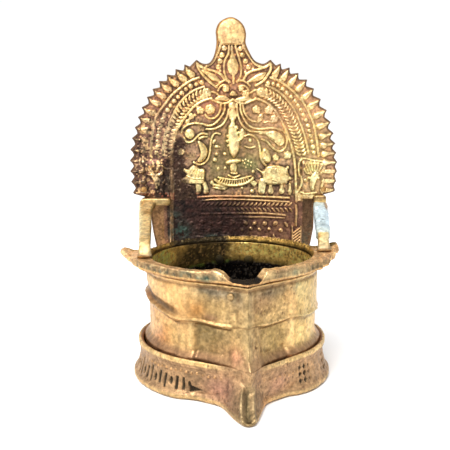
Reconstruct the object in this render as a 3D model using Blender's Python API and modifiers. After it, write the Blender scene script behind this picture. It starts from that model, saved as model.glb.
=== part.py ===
"""Brass diya oil lamp with an arched back plate.

A round cast bowl with a keel at the front stands in a flared plinth.  A thick
rim band with two pointed ears and a wick notch sits on the bowl.  An arched
relief plate stands behind the bowl, riveted to its rear boss and braced by two
struts from the rim; the right strut carries a solder repair.

Units: metres, +Z up, front of the lamp towards -Y.  The origin is the centre
of the bowl's axis on the ground.
"""
import math
import bpy
import bmesh
from mathutils import Vector

MM = 0.001

# ------------------------------------------------------------ driving sizes
CLEAR = 0.3          # gap between touching pieces

FLOOR_T = 3.0        # plinth floor thickness
BASE_R = 49.9        # plinth radius at the ground
LIP_R = 47.5         # plinth radius at the collar lip
LIP_Z = 19.5         # height of the collar lip
LIP_IN_R = 45.0      # inside radius of the collar
COLLAR_WALL = 2.2    # least wall of the collar round the prow
BEAK_REACH = 27.5    # how far the beak stands out at the ground
BEAK_AZ = 3.1        # beak direction, degrees to the right of front

DRUM_R = 43.05       # bowl radius above the mid moulding
DRUM_LOW_R = 42.2    # bowl radius below it
STEP_Z = 37.0        # height of the mid moulding
DRUM_TOP = 56.0      # shoulder that carries the rim
NECK_TOP = 58.9      # top of the thin neck inside the rim
NECK_R = 41.7        # outer radius of the neck
BOWL_IN_R = 40.2     # inner radius of the bowl
BOWL_FLOOR = 9.0     # inside floor height
KEEL_AZ = 6.0        # keel direction, degrees to the right of front
KEEL_TOP_R = 50.0    # keel distance from the axis at the rim
KEEL_LOW_R = 55.0    # keel distance from the axis at the collar
PROW_LEFT = 38.0     # angle from the keel to where the left flat meets the drum
PROW_RIGHT = 35.0    # the same at the right

RIM_TOP = 61.6
RIM_BOTTOM = 56.3
RIM_IN_LOW = 42.0    # rim bore round the neck
RIM_IN_TOP = 41.0    # rim bore at the top, over the neck
RIM_OUT = 46.3       # band round the front
RIM_REAR = 43.3      # bare lip behind the ears
EAR_LEFT = 56.8      # ear tips, distance from the axis
EAR_RIGHT = 55.9
EAR_LEFT_AZ = 4.0    # how far behind the cross axis each tip lies, degrees
EAR_RIGHT_AZ = 8.0
EAR_SWEEP = 46.0     # angle over which an ear grows out of the band
EAR_CURL = 1.7       # how far the tips turn up
NOTCH_LEFT = 11.3    # half width of the wick notch at the rim's top, left side
NOTCH_RIGHT = 8.4
NOTCH_LOW = 4.1      # half width of its floor
NOTCH_LOW_Z = 57.5
NOTCH_AZ = 6.9

PLATE_Y = 43.8       # front face of the plate
PLATE_T = 3.2
PLATE_CX = 2.6       # the plate stands a little right of the bowl's axis
ARCH_Z = 103.6       # centre height of the arch
ARCH_R = 57.6        # radius over the flame tips
TOOTH_DEPTH = 2.8
TEETH = 15           # on each side
PLATE_TOP = 180.0
EAR_BOTTOM = 83.4
PANEL_LEFT = 46.1     # panel's half widths from the plate's centre line
PANEL_RIGHT = 44.5
PANEL_BOTTOM = 45.0

BOSS_HALF = 19.0     # rear boss of the bowl, half width
BOSS_Y = 43.5        # its flat rear face
BOSS_LOW = 42.0

STRUT_W = 6.4
STRUT_D = 4.4
TAB_Y = 49.4         # rear face of the strut's tab

RIVET_X = 8.0
RIVET_Z = 49.6


# ------------------------------------------------------------------ helpers
def clear_scene():
    for ob in list(bpy.data.objects):
        bpy.data.objects.remove(ob, do_unlink=True)
    for col in list(bpy.data.collections):
        bpy.data.collections.remove(col)


def make_collection(name):
    col = bpy.data.collections.new(name)
    bpy.context.scene.collection.children.link(col)
    return col


def material(name, rgb, rough, metal=1.0):
    mat = bpy.data.materials.new(name)
    mat.use_nodes = True
    bsdf = mat.node_tree.nodes["Principled BSDF"]
    bsdf.inputs["Base Color"].default_value = (*rgb, 1.0)
    bsdf.inputs["Roughness"].default_value = rough
    bsdf.inputs["Metallic"].default_value = metal
    return mat


def add_object(name, mesh, col, mat=None):
    ob = bpy.data.objects.new(name, mesh)
    col.objects.link(ob)
    if mat is not None:
        ob.data.materials.append(mat)
    return ob


def loft(name, rings, col, mat=None, smooth_angle=35.0):
    """Closed body through closed rings of equal point count (millimetres)."""
    bm = bmesh.new()
    rows = [[bm.verts.new(Vector(p) * MM) for p in ring] for ring in rings]
    n = len(rows[0])
    for a, b in zip(rows, rows[1:]):
        for i in range(n):
            j = (i + 1) % n
            bm.faces.new((a[i], a[j], b[j], b[i]))
    bm.faces.new(list(reversed(rows[0])))
    bm.faces.new(rows[-1])
    bmesh.ops.recalc_face_normals(bm, faces=bm.faces)
    mesh = bpy.data.meshes.new(name)
    bm.to_mesh(mesh)
    bm.free()
    mesh.shade_smooth()
    mesh.set_sharp_from_angle(angle=math.radians(smooth_angle))
    return add_object(name, mesh, col, mat)


def ring_loft(name, sections, col, mat=None):
    """Closed ring: each section is a loop of (x, y, z); the last joins the first."""
    bm = bmesh.new()
    rows = [[bm.verts.new(Vector(p) * MM) for p in s] for s in sections]
    m, n = len(rows), len(rows[0])
    for k in range(m):
        a, b = rows[k], rows[(k + 1) % m]
        for i in range(n):
            j = (i + 1) % n
            bm.faces.new((a[i], a[j], b[j], b[i]))
    bmesh.ops.recalc_face_normals(bm, faces=bm.faces)
    mesh = bpy.data.meshes.new(name)
    bm.to_mesh(mesh)
    bm.free()
    mesh.shade_smooth()
    mesh.set_sharp_from_angle(angle=math.radians(35.0))
    return add_object(name, mesh, col, mat)


def turned(name, profile, col, mat=None, steps=20):
    """Turned body: profile of (radius, height) from the top down, radii > 0
    except at its two ends, spun about the object's Z axis."""
    bm = bmesh.new()
    verts = [bm.verts.new((r * MM, 0.0, z * MM)) for r, z in profile]
    for a, b in zip(verts, verts[1:]):
        bm.edges.new((a, b))
    mesh = bpy.data.meshes.new(name)
    bm.to_mesh(mesh)
    bm.free()
    ob = add_object(name, mesh, col, mat)
    mod = ob.modifiers.new("Screw", "SCREW")
    mod.axis = "Z"
    mod.angle = math.tau
    mod.steps = steps
    mod.render_steps = steps
    mod.use_merge_vertices = True
    mod.merge_threshold = 0.00002
    mod.use_smooth_shade = True
    return ob


def extruded(name, points, thickness, col, mat=None):
    """Flat outline in X and Z, extruded along Y, as a real mesh."""
    curve = bpy.data.curves.new(name, "CURVE")
    curve.dimensions = "2D"
    curve.fill_mode = "BOTH"
    curve.extrude = thickness * MM / 2.0
    spline = curve.splines.new("POLY")
    spline.points.add(len(points) - 1)
    for point, (x, z) in zip(spline.points, points):
        point.co = (x * MM, z * MM, 0.0, 1.0)
    spline.use_cyclic_u = True
    return curve_to_mesh(name, curve, col, mat)


def curve_to_mesh(name, curve, col, mat=None):
    tmp = bpy.data.objects.new(name + "_curve", curve)
    col.objects.link(tmp)
    tmp.rotation_euler = (math.radians(90.0), 0.0, 0.0)
    bpy.context.view_layer.update()
    deps = bpy.context.evaluated_depsgraph_get()
    mesh = bpy.data.meshes.new_from_object(tmp.evaluated_get(deps))
    mesh.transform(tmp.matrix_world)
    bm = bmesh.new()
    bm.from_mesh(mesh)
    bmesh.ops.remove_doubles(bm, verts=bm.verts, dist=0.00001)
    bmesh.ops.dissolve_degenerate(bm, edges=bm.edges, dist=0.000001)
    bmesh.ops.recalc_face_normals(bm, faces=bm.faces)
    bm.to_mesh(mesh)
    bm.free()
    bpy.data.objects.remove(tmp, do_unlink=True)
    mesh.materials.clear()
    return add_object(name, mesh, col, mat)


def as_cutter(ob):
    ob.hide_render = True
    ob.display_type = "WIRE"
    return ob


def boolean(ob, other, kind):
    mod = ob.modifiers.new(kind.title() + "_" + other.name, "BOOLEAN")
    mod.operation = kind
    mod.solver = "EXACT"
    mod.object = as_cutter(other)


def box(name, lo, hi, col):
    bm = bmesh.new()
    bmesh.ops.create_cube(bm, size=1.0)
    for v in bm.verts:
        v.co = Vector([(l + h) / 2.0 + c * (h - l) for l, h, c in zip(lo, hi, v.co)]) * MM
    mesh = bpy.data.meshes.new(name)
    bm.to_mesh(mesh)
    bm.free()
    return add_object(name, mesh, col)


def cylinder(name, radius, length, centre, axis, col, segments=20):
    bm = bmesh.new()
    bmesh.ops.create_cone(bm, cap_ends=True, segments=segments,
                          radius1=radius * MM, radius2=radius * MM, depth=length * MM)
    mesh = bpy.data.meshes.new(name)
    bm.to_mesh(mesh)
    bm.free()
    ob = add_object(name, mesh, col)
    ob.location = Vector(centre) * MM
    ob.rotation_euler = Vector((0, 0, 1)).rotation_difference(Vector(axis)).to_euler()
    return ob


def smoothstep(a, b, x):
    t = max(0.0, min(1.0, (x - a) / (b - a)))
    return t * t * (3.0 - 2.0 * t)


def front_angle(theta):
    """Angle from straight ahead (-Y), positive to the right, in degrees."""
    return (math.degrees(theta) + 90.0 + 180.0) % 360.0 - 180.0


def polar(radius, theta, z):
    return (radius * math.cos(theta), radius * math.sin(theta), z)


# ------------------------------------------------------------- bowl and keel
def keel_radius(z):
    t = smoothstep(56.0, 16.0, z)
    return KEEL_TOP_R + (KEEL_LOW_R - KEEL_TOP_R) * t


def prow_points(base_r, keel_r):
    """Where the two flats leave the drum, and the keel, in plan."""
    def at(r, deg):
        a = math.radians(deg - 90.0)
        return Vector((r * math.cos(a), r * math.sin(a)))
    return (at(base_r, KEEL_AZ - PROW_LEFT), at(keel_r, KEEL_AZ),
            at(base_r, KEEL_AZ + PROW_RIGHT))


def bowl_plan(theta, base_r, keel_r):
    """Radius of the bowl's plan outline: the drum circle, with two flats that
    meet at the keel."""
    left, keel, right = prow_points(base_r, keel_r)
    ray = Vector((math.cos(theta), math.sin(theta)))
    phi = front_angle(theta) - KEEL_AZ
    if phi <= -PROW_LEFT or phi >= PROW_RIGHT:
        return base_r
    a, b = (left, keel) if phi < 0.0 else (keel, right)
    d = b - a
    cross = ray.x * d.y - ray.y * d.x
    r = (a.x * d.y - a.y * d.x) / cross
    return max(r, base_r)


def bowl_thetas():
    """Angles round the bowl, closer together along the prow."""
    out = []
    rear = 40
    start, end = KEEL_AZ + PROW_RIGHT, KEEL_AZ - PROW_LEFT + 360.0
    for i in range(rear):
        out.append(start + (end - start) * i / rear)
    for i in range(8):
        out.append(end + PROW_LEFT * i / 8)
    for i in range(8):
        out.append(end + PROW_LEFT + PROW_RIGHT * i / 8)
    return [math.radians(a - 90.0) for a in out]


def make_bowl(col, cutters, mat):
    thetas = bowl_thetas()
    levels = [(FLOOR_T + CLEAR, 40.6), (FLOOR_T + 1.8, DRUM_LOW_R), (12.0, DRUM_LOW_R),
              (20.0, DRUM_LOW_R), (28.0, DRUM_LOW_R), (STEP_Z - 1.0, DRUM_LOW_R),
              (STEP_Z, DRUM_R), (45.0, DRUM_R), (DRUM_TOP, DRUM_R)]
    rings = []
    for z, r in levels:
        rings.append([polar(bowl_plan(t, r, keel_radius(z) - (DRUM_R - r)), t, z)
                      for t in thetas])
    rings.append([polar(NECK_R, t, DRUM_TOP) for t in thetas])
    rings.append([polar(NECK_R, t, NECK_TOP) for t in thetas])
    bowl = loft("oil_bowl", rings, col, mat)

    boss = box("bowl_boss", (-BOSS_HALF + 1.0, 34.0, BOSS_LOW),
               (BOSS_HALF + 1.0, BOSS_Y, DRUM_TOP), cutters)
    boolean(bowl, boss, "UNION")

    inner = [(BOWL_FLOOR, BOWL_IN_R - 7.0, 0.0), (BOWL_FLOOR + 1.6, BOWL_IN_R - 3.0, 0.3),
             (BOWL_FLOOR + 5.0, BOWL_IN_R - 0.7, 0.8), (BOWL_FLOOR + 9.0, BOWL_IN_R, 1.0),
             (30.0, BOWL_IN_R, 1.0), (45.0, BOWL_IN_R, 1.0), (51.0, BOWL_IN_R, 0.5),
             (53.5, BOWL_IN_R, 0.0), (NECK_TOP + 3.0, BOWL_IN_R, 0.0)]
    rings = []
    for z, r, pocket in inner:
        reach = r + max(0.0, keel_radius(z) - 4.4 - r) * pocket
        rings.append([polar(bowl_plan(t, r, max(reach, r + 0.02)), t, z) for t in thetas])
    hollow = loft("bowl_hollow", rings, cutters)
    boolean(bowl, hollow, "DIFFERENCE")

    notch = notch_cutter("bowl_notch", NOTCH_LOW_Z - 0.9, 0.6, cutters)
    boolean(bowl, notch, "DIFFERENCE")
    for x in (-RIVET_X, RIVET_X):
        hole = cylinder("boss_hole_%d" % (x > 0), 1.9, 30.0,
                        (PLATE_CX + x, 42.0, RIVET_Z), (0, 1, 0), cutters)
        boolean(bowl, hole, "DIFFERENCE")
    point, normal = front_rivet_place()
    hole = cylinder("front_rivet_hole", 1.2, 16.0, point, normal, cutters)
    boolean(bowl, hole, "DIFFERENCE")
    return bowl


def front_rivet_place():
    """A point on the left flat of the prow and the outward normal there."""
    z = 50.6
    left, keel, _ = prow_points(DRUM_R, keel_radius(z))
    d = (keel - left)
    p = left + d * 0.74
    n = Vector((d.y, -d.x, 0.0)).normalized()
    if n.y > 0:
        n = -n
    return (p.x, p.y, z), (n.x, n.y, n.z)


def notch_cutter(name, low_z, grow, cutters):
    """Wedge that opens the wick notch through the rim, wider at the top."""
    az = math.radians(NOTCH_AZ - 90.0)
    side = Vector((-math.sin(az), math.cos(az), 0.0))
    out = Vector((math.cos(az), math.sin(az), 0.0))
    top_z = RIM_TOP + 4.0
    half_low = NOTCH_LOW + grow
    rise = (top_z - low_z) / (RIM_TOP - NOTCH_LOW_Z)
    left_top = half_low + (NOTCH_LEFT - NOTCH_LOW) * rise
    right_top = half_low + (NOTCH_RIGHT - NOTCH_LOW) * rise
    rings = []
    for reach in (34.0, 60.0):
        base = out * reach
        ring = [base - side * half_low + Vector((0, 0, low_z)),
                base + side * half_low + Vector((0, 0, low_z)),
                base + side * right_top + Vector((0, 0, top_z)),
                base - side * left_top + Vector((0, 0, top_z))]
        rings.append([tuple(p) for p in ring])
    return loft(name, rings, cutters)


# ---------------------------------------------------------------------- rim
def rim_outer(theta):
    """Plan radius of the rim: a bare lip at the rear, an ear at each side that
    grows out of the front band, and a slight point over the keel."""
    deg = (math.degrees(theta) + 90.0) % 360.0 - 90.0      # -90 front .. 270
    if deg < 90.0:
        tip, psi = EAR_RIGHT, deg - EAR_RIGHT_AZ
    else:
        tip, psi = EAR_LEFT, 180.0 - deg - EAR_LEFT_AZ
    if psi > 0.0:                                          # behind the tip
        drop = min(1.0, max(0.0, (psi - 5.0) / 3.0))
        return tip + (RIM_REAR - tip) * drop
    grow = max(0.0, 1.0 + psi / EAR_SWEEP) ** 1.7
    front = bowl_plan(theta, RIM_OUT, KEEL_TOP_R + 3.0)
    return max(RIM_OUT + (tip - RIM_OUT) * grow, front)


def make_rim(col, cutters, mat):
    sections = []
    steps = 120
    for i in range(steps):
        t = math.tau * i / steps
        over = rim_outer(t)
        at_ear = abs(math.cos(t)) > 0.5
        lift = 3.6 * smoothstep(RIM_OUT + 0.5, EAR_RIGHT, over) * at_ear
        curl = EAR_CURL * smoothstep(50.8, EAR_RIGHT, over) * at_ear
        low = RIM_BOTTOM
        sections.append([polar(RIM_IN_LOW, t, low),
                         polar(min(RIM_OUT - 1.4, over - 0.7), t, low),
                         polar(over - 0.4, t, low + 1.0 + lift),
                         polar(over, t, RIM_TOP - 1.4 + curl),
                         polar(over - 0.6, t, RIM_TOP + curl),
                         polar(min(over - 0.9, 50.6), t, RIM_TOP),
                         polar(RIM_IN_TOP + 0.5, t, RIM_TOP - 0.1),
                         polar(RIM_IN_TOP, t, RIM_TOP - 0.7),
                         polar(RIM_IN_TOP, t, NECK_TOP + CLEAR),
                         polar(RIM_IN_LOW, t, NECK_TOP + CLEAR)])
    rim = ring_loft("rim_flange", sections, col, mat)
    boolean(rim, notch_cutter("rim_notch", NOTCH_LOW_Z, 0.0, cutters), "DIFFERENCE")
    for side in (-1, 1):
        x, y = strut_foot(side)
        hole = cylinder("rim_tenon_%d" % (side > 0), 1.6, 20.0, (x, y, 58.0),
                        (0, 0, 1), cutters, 16)
        boolean(rim, hole, "DIFFERENCE")
    return rim


# ------------------------------------------------------------------- plinth
PLINTH_PROFILE = [(0.0, 49.3), (0.7, BASE_R), (2.6, BASE_R), (3.6, 49.0), (6.5, 47.7),
                  (10.0, 46.8), (13.5, 46.5), (16.0, 46.7), (17.2, LIP_R),
                  (18.9, LIP_R), (LIP_Z, LIP_R - 0.7)]


def plinth_plan(theta, radius, z):
    phi = abs(front_angle(theta) - BEAK_AZ)
    up = z / LIP_Z
    reach = BEAK_REACH * (1.0 - 0.62 * smoothstep(0.0, 1.0, 0.15 + 0.85 * up)
                          if up > 0.12 else 1.0 - 0.3 * up)
    width = 8.5 + 1.5 * up
    beak = math.exp(-(phi / width) ** 1.5)
    waist = -2.6 * math.exp(-((phi - 27.0) / 9.0) ** 2) * (1.0 - 0.6 * up)
    # the collar always stands a wall's thickness outside the bowl's prow
    wall = COLLAR_WALL * smoothstep(0.0, 10.0, z) - 1.2 * (1.0 - smoothstep(0.0, 10.0, z))
    keep = pocket_plan(theta, radius - COLLAR_WALL, z) + wall
    return max(radius + reach * beak + waist, keep)


def pocket_plan(theta, r, z):
    """Plan radius of the space inside the collar, round the bowl."""
    return bowl_plan(theta, r, max(keel_radius(z) + 1.0, r + 1.0))


def plinth_thetas():
    fine, coarse = 36, 44
    span = 40.0
    out = [BEAK_AZ - span + 2 * span * i / fine for i in range(fine)]
    out += [BEAK_AZ + span + (360.0 - 2 * span) * i / coarse for i in range(coarse)]
    return [math.radians(a - 90.0) for a in out]


def make_plinth(col, cutters, mat):
    thetas = plinth_thetas()
    rings = [[polar(plinth_plan(t, r, z), t, z) for t in thetas] for z, r in PLINTH_PROFILE]
    plinth = loft("base_plinth", rings, col, mat)
    inner = [(FLOOR_T, LIP_IN_R - 1.6), (FLOOR_T + 4.0, LIP_IN_R - 0.6),
             (14.0, LIP_IN_R - 0.2), (LIP_Z + 2.0, LIP_IN_R)]
    rings = [[polar(pocket_plan(t, r, z), t, z) for t in bowl_thetas()] for z, r in inner]
    pocket = loft("plinth_pocket", rings, cutters)
    boolean(plinth, pocket, "DIFFERENCE")
    return plinth


# -------------------------------------------------------------------- plate
def flame_edge(side):
    """Flame teeth from beside the finial round the arch and down to the ear.
    side is -1 for left, +1 for right; points run from the top down."""
    radius = ARCH_R
    arc = math.radians(63.0)          # first tooth, above the arch's centre line
    arc_len = radius * arc
    drop = 17.0
    total = arc_len + drop

    def at(s, inset):
        if s <= arc_len:
            a = arc - s / radius
            return (PLATE_CX + side * (radius - inset) * math.cos(a),
                    ARCH_Z + (radius - inset) * math.sin(a))
        down = s - arc_len
        return (PLATE_CX + side * (radius - inset - 0.10 * down), ARCH_Z - down)

    out = []
    pitch = total / (TEETH - 1)
    for i in range(TEETH):
        out.append(at(i * pitch, 0.0))
        if i < TEETH - 1:
            out.append(at((i + 0.72) * pitch, TOOTH_DEPTH))
    return out


def plate_outline():
    cx = PLATE_CX
    neck = [(-14.6, 154.0), (-10.4, 156.4), (-7.6, 160.6), (-6.0, 165.6), (-7.6, 169.2),
            (-8.0, 173.0), (-6.6, 176.8), (-3.6, 179.3), (-0.9, PLATE_TOP)]
    finial_x = -0.6
    left_side = flame_edge(-1)
    right_side = flame_edge(1)
    points = list(reversed(left_side))                 # up the left side
    points += [(cx + finial_x + x, z) for x, z in neck]
    points += [(cx + finial_x - x, z) for x, z in reversed(neck[:-1])]
    points += right_side                               # down the right side
    points += [(cx + 52.6, EAR_BOTTOM + 1.4), (cx + PANEL_RIGHT, EAR_BOTTOM)]
    points += [(cx + PANEL_RIGHT, 66.0), (cx + PANEL_RIGHT - 1.6, 57.0),
               (cx + PANEL_RIGHT - 3.4, PANEL_BOTTOM + 5.0), (cx + PANEL_RIGHT - 6.4, PANEL_BOTTOM)]
    points += [(cx - PANEL_LEFT + 7.4, PANEL_BOTTOM), (cx - PANEL_LEFT + 4.4, PANEL_BOTTOM + 5.0),
               (cx - PANEL_LEFT + 2.8, 57.0), (cx - PANEL_LEFT + 0.7, 69.0),
               (cx - PANEL_LEFT, EAR_BOTTOM),
               (cx - 52.6, EAR_BOTTOM + 1.4)]
    return points


def field_outline(half, arch_r, low, steps=22):
    """Inner field: straight sides with a round head."""
    cx = PLATE_CX
    pts = [(cx - half, low)]
    a0 = math.acos(min(1.0, half / arch_r))
    centre = ARCH_Z - 4.0
    for i in range(steps + 1):
        a = math.pi - a0 - (math.pi - 2 * a0) * i / steps
        pts.append((cx + arch_r * math.cos(a), centre + arch_r * math.sin(a)))
    pts.append((cx + half, low))
    return pts


def make_plate(col, cutters, mat):
    plate = extruded("back_plate", plate_outline(), PLATE_T, col, mat)
    plate.location = (0.0, (PLATE_Y + PLATE_T / 2.0) * MM, 0.0)
    frames = [("plate_outer_rib", 45.2, 46.4, 90.0, 1.1),
              ("plate_inner_rib", 34.9, 36.4, 62.6, 1.2)]
    for name, half, arch_r, low, bevel in frames:
        curve = bpy.data.curves.new(name, "CURVE")
        curve.dimensions = "3D"
        curve.fill_mode = "FULL"
        curve.bevel_depth = bevel * MM
        curve.bevel_resolution = 1
        curve.use_fill_caps = True
        pts = field_outline(half, arch_r, low)
        spline = curve.splines.new("POLY")
        spline.points.add(len(pts) - 1)
        for point, (x, z) in zip(spline.points, pts):
            point.co = (x * MM, z * MM, 0.0, 1.0)
        rib = curve_to_mesh(name, curve, cutters)
        rib.location = (0.0, (PLATE_Y + 0.15) * MM, 0.0)
        boolean(plate, rib, "UNION")
    for name, low, high in (("plate_ground_rib_upper", 78.6, 80.2),
                            ("plate_ground_rib_lower", 72.6, 74.0)):
        rib = box(name, (PLATE_CX - 34.0, PLATE_Y - 0.8, low),
                  (PLATE_CX + 34.0, PLATE_Y + 0.8, high), cutters)
        boolean(plate, rib, "UNION")
    knob = turned("finial_knob", [(0.0, 7.4), (4.2, 6.6), (6.8, 4.0), (7.7, 0.0),
                                  (6.6, -4.2), (4.0, -6.8), (0.0, -7.6)], cutters, steps=16)
    knob.scale = (1.0, 0.52, 1.0)
    knob.location = (2.1 * MM, (PLATE_Y + PLATE_T / 2.0) * MM, 172.4 * MM)
    boolean(plate, knob, "UNION")
    for x in (-RIVET_X, RIVET_X):
        hole = cylinder("plate_hole_%d" % (x > 0), 1.9, 30.0,
                        (PLATE_CX + x, 47.0, RIVET_Z), (0, 1, 0), cutters)
        boolean(plate, hole, "DIFFERENCE")
    for side in (-1, 1):
        x, z = strut_rivet_place(side)
        hole = cylinder("ear_hole_%d" % (side > 0), 1.5, 30.0, (x, 46.0, z),
                        (0, 1, 0), cutters)
        boolean(plate, hole, "DIFFERENCE")
    return plate


# ------------------------------------------------------------------- struts
def strut_foot(side):
    return (-44.0, -8.5) if side < 0 else (46.6, -1.6)


def strut_rivet_place(side):
    return (PLATE_CX + side * 49.4, EAR_BOTTOM + 4.4)


def strut_path(side):
    """Centre line, front to back: up from the rim, leaning back to below the
    ear, under it and up behind the plate."""
    fx, fy = strut_foot(side)
    ex = strut_rivet_place(side)[0] if side < 0 else PLATE_CX + 48.0
    top = 80.6

    def rise(y):
        return RIM_TOP + 5.2 + (top - RIM_TOP - 5.2) * (y - fy - 6.0) / (42.0 - fy - 6.0)
    return [
        (Vector((fx, fy, RIM_TOP + CLEAR)), 6.6, 6.6),
        (Vector((fx, fy + 1.4, RIM_TOP + 2.4)), STRUT_W - 0.8, STRUT_D + 1.0),
        (Vector((fx + (ex - fx) * 0.12, fy + 6.0, RIM_TOP + 5.2)), STRUT_W - 0.9, STRUT_D + 0.4),
        (Vector((fx + (ex - fx) * 0.50, 18.0, rise(18.0) - 0.3)), STRUT_W - 0.2, STRUT_D),
        (Vector((fx + (ex - fx) * 0.85, 34.5, rise(34.5) - 0.1)), STRUT_W, STRUT_D),
        (Vector((ex, 42.0, top)), STRUT_W + 0.2, STRUT_D - 0.2),
    ]


def smooth_path(side, per_span=3):
    """The strut's stations on one smooth curve through its control points."""
    pts = [(*c, w, d) for c, w, d in strut_path(side)]
    out = []
    for i in range(len(pts) - 1):
        p0, p1, p2, p3 = (pts[max(0, i - 1)], pts[i], pts[i + 1],
                          pts[min(len(pts) - 1, i + 2)])
        for k in range(per_span):
            t = k / per_span
            row = [0.5 * (2 * b + (c - a) * t + (2 * a - 5 * b + 4 * c - d) * t * t
                          + (3 * b - a - 3 * c + d) * t ** 3)
                   for a, b, c, d in zip(p0, p1, p2, p3)]
            out.append((Vector(row[:3]), row[3], row[4]))
    out.append((Vector(pts[-1][:3]), pts[-1][3], pts[-1][4]))
    return out


def bar_section(centre, tangent, width, depth, rounding=0.9):
    """Rounded rectangle across the bar, its width kept along X."""
    t = tangent.normalized()
    x_axis = (Vector((1, 0, 0)) - t * t.x).normalized()
    n_axis = t.cross(x_axis).normalized()
    w, d, r = width / 2.0, depth / 2.0, rounding
    flat = [(-w, -d + r), (-w, d - r), (-w + r, d), (w - r, d),
            (w, d - r), (w, -d + r), (w - r, -d), (-w + r, -d)]
    return [tuple(centre + x_axis * a + n_axis * b) for a, b in flat]


def strut_tangents(path):
    out = []
    for i in range(len(path)):
        a = path[max(0, i - 1)][0]
        b = path[min(len(path) - 1, i + 1)][0]
        out.append(b - a)
    out[0] = Vector((0.0, 0.1, 1.0))
    out[-1] = Vector((0.0, 1.0, 0.08))
    return out


def make_strut(name, side, col, cutters, mat):
    path = smooth_path(side)
    tangents = strut_tangents(path)
    rings = [bar_section(c, t, w, d) for (c, w, d), t in zip(path, tangents)]
    bar = loft(name, rings, col, mat, 40.0)

    rx, rz = strut_rivet_place(side)
    # arm under the ear, in front of the panel's margin
    lo, hi = (rx - 3.6, rx + 12.2) if side < 0 else (rx - 5.2, rx + 2.2)
    head = box(name + "_head", (lo, 39.8, 79.4), (hi, PLATE_Y - CLEAR, EAR_BOTTOM - CLEAR),
               cutters)
    bevel = head.modifiers.new("Bevel", "BEVEL")
    bevel.width = 0.8 * MM
    bevel.segments = 1
    boolean(bar, head, "UNION")
    # block that passes beside the panel, and the tab behind the ear
    edge = PLATE_CX + side * ((PANEL_LEFT if side < 0 else PANEL_RIGHT) + CLEAR)
    lo, hi = sorted((edge, rx + side * 3.2))
    block = box(name + "_block", (lo, 41.0, 79.7), (hi, TAB_Y, EAR_BOTTOM - CLEAR - 0.1),
                cutters)
    boolean(bar, block, "UNION")
    tab = box(name + "_tab", (lo, PLATE_Y + PLATE_T + CLEAR, 80.2),
              (hi, TAB_Y + 0.0, rz + 4.0), cutters)
    boolean(bar, tab, "UNION")
    fx, fy = strut_foot(side)
    tenon = cylinder(name + "_tenon", 1.3, 5.4, (fx, fy, RIM_TOP - 1.7), (0, 0, 1),
                     cutters, 16)
    boolean(bar, tenon, "UNION")
    hole = cylinder(name + "_hole", 1.5, 16.0, (rx, 48.0, rz), (0, 1, 0), cutters)
    boolean(bar, hole, "DIFFERENCE")
    return bar


def make_sleeve(col, cutters, mat):
    """Solder coat round the right strut, open at both ends."""
    path = smooth_path(1)
    tangents = strut_tangents(path)

    def sample(t):
        s = t * (len(path) - 1)
        i = min(int(s), len(path) - 2)
        k = s - i
        return path[i][0].lerp(path[i + 1][0], k), tangents[i].lerp(tangents[i + 1], k), \
            path[i][1] * (1 - k) + path[i + 1][1] * k, path[i][2] * (1 - k) + path[i + 1][2] * k

    outer, inner = [], []
    stations = [0.40, 0.46, 0.52, 0.59, 0.66, 0.73, 0.80, 0.87]
    lumps = [0.5, 1.0, 1.2, 1.3, 1.15, 1.3, 1.1, 0.6]
    for t, lump in zip(stations, lumps):
        c, tan, w, d = sample(t)
        outer.append(bar_section(c, tan, w + 0.8 + lump, d + 0.8 + lump, 1.4))
        inner.append(bar_section(c, tan, w + 0.62, d + 0.62, 1.0))
    sections = []
    n = len(outer[0])
    bm = bmesh.new()
    o = [[bm.verts.new(Vector(p) * MM) for p in ring] for ring in outer]
    q = [[bm.verts.new(Vector(p) * MM) for p in ring] for ring in inner]
    for k in range(len(o) - 1):
        for i in range(n):
            j = (i + 1) % n
            bm.faces.new((o[k][i], o[k][j], o[k + 1][j], o[k + 1][i]))
            bm.faces.new((q[k][j], q[k][i], q[k + 1][i], q[k + 1][j]))
    for k, flip in ((0, False), (len(o) - 1, True)):
        for i in range(n):
            j = (i + 1) % n
            face = (o[k][j], o[k][i], q[k][i], q[k][j])
            bm.faces.new(tuple(reversed(face)) if flip else face)
    bmesh.ops.recalc_face_normals(bm, faces=bm.faces)
    mesh = bpy.data.meshes.new("solder_sleeve")
    bm.to_mesh(mesh)
    bm.free()
    mesh.shade_smooth()
    mesh.set_sharp_from_angle(angle=math.radians(40.0))
    return add_object("solder_sleeve", mesh, col, mat)


# ------------------------------------------------------------------- rivets
def make_rivet(name, shank_r, shank_len, head_r, head_h, place, axis, col, mat, tail=True):
    """Round-headed rivet, its head's underside at `place`, head towards axis."""
    profile = [(0.0, head_h), (head_r * 0.55, head_h * 0.86), (head_r * 0.9, head_h * 0.45),
               (head_r, 0.0), (shank_r, 0.0), (shank_r, -shank_len)]
    if tail:
        profile += [(head_r * 0.86, -shank_len), (head_r * 0.72, -shank_len - head_h * 0.7),
                    (0.0, -shank_len - head_h * 0.85)]
    else:
        profile += [(0.0, -shank_len)]
    ob = turned(name, profile, col, mat, steps=16)
    ob.location = Vector(place) * MM
    ob.rotation_euler = Vector((0, 0, 1)).rotation_difference(Vector(axis)).to_euler()
    return ob


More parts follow.
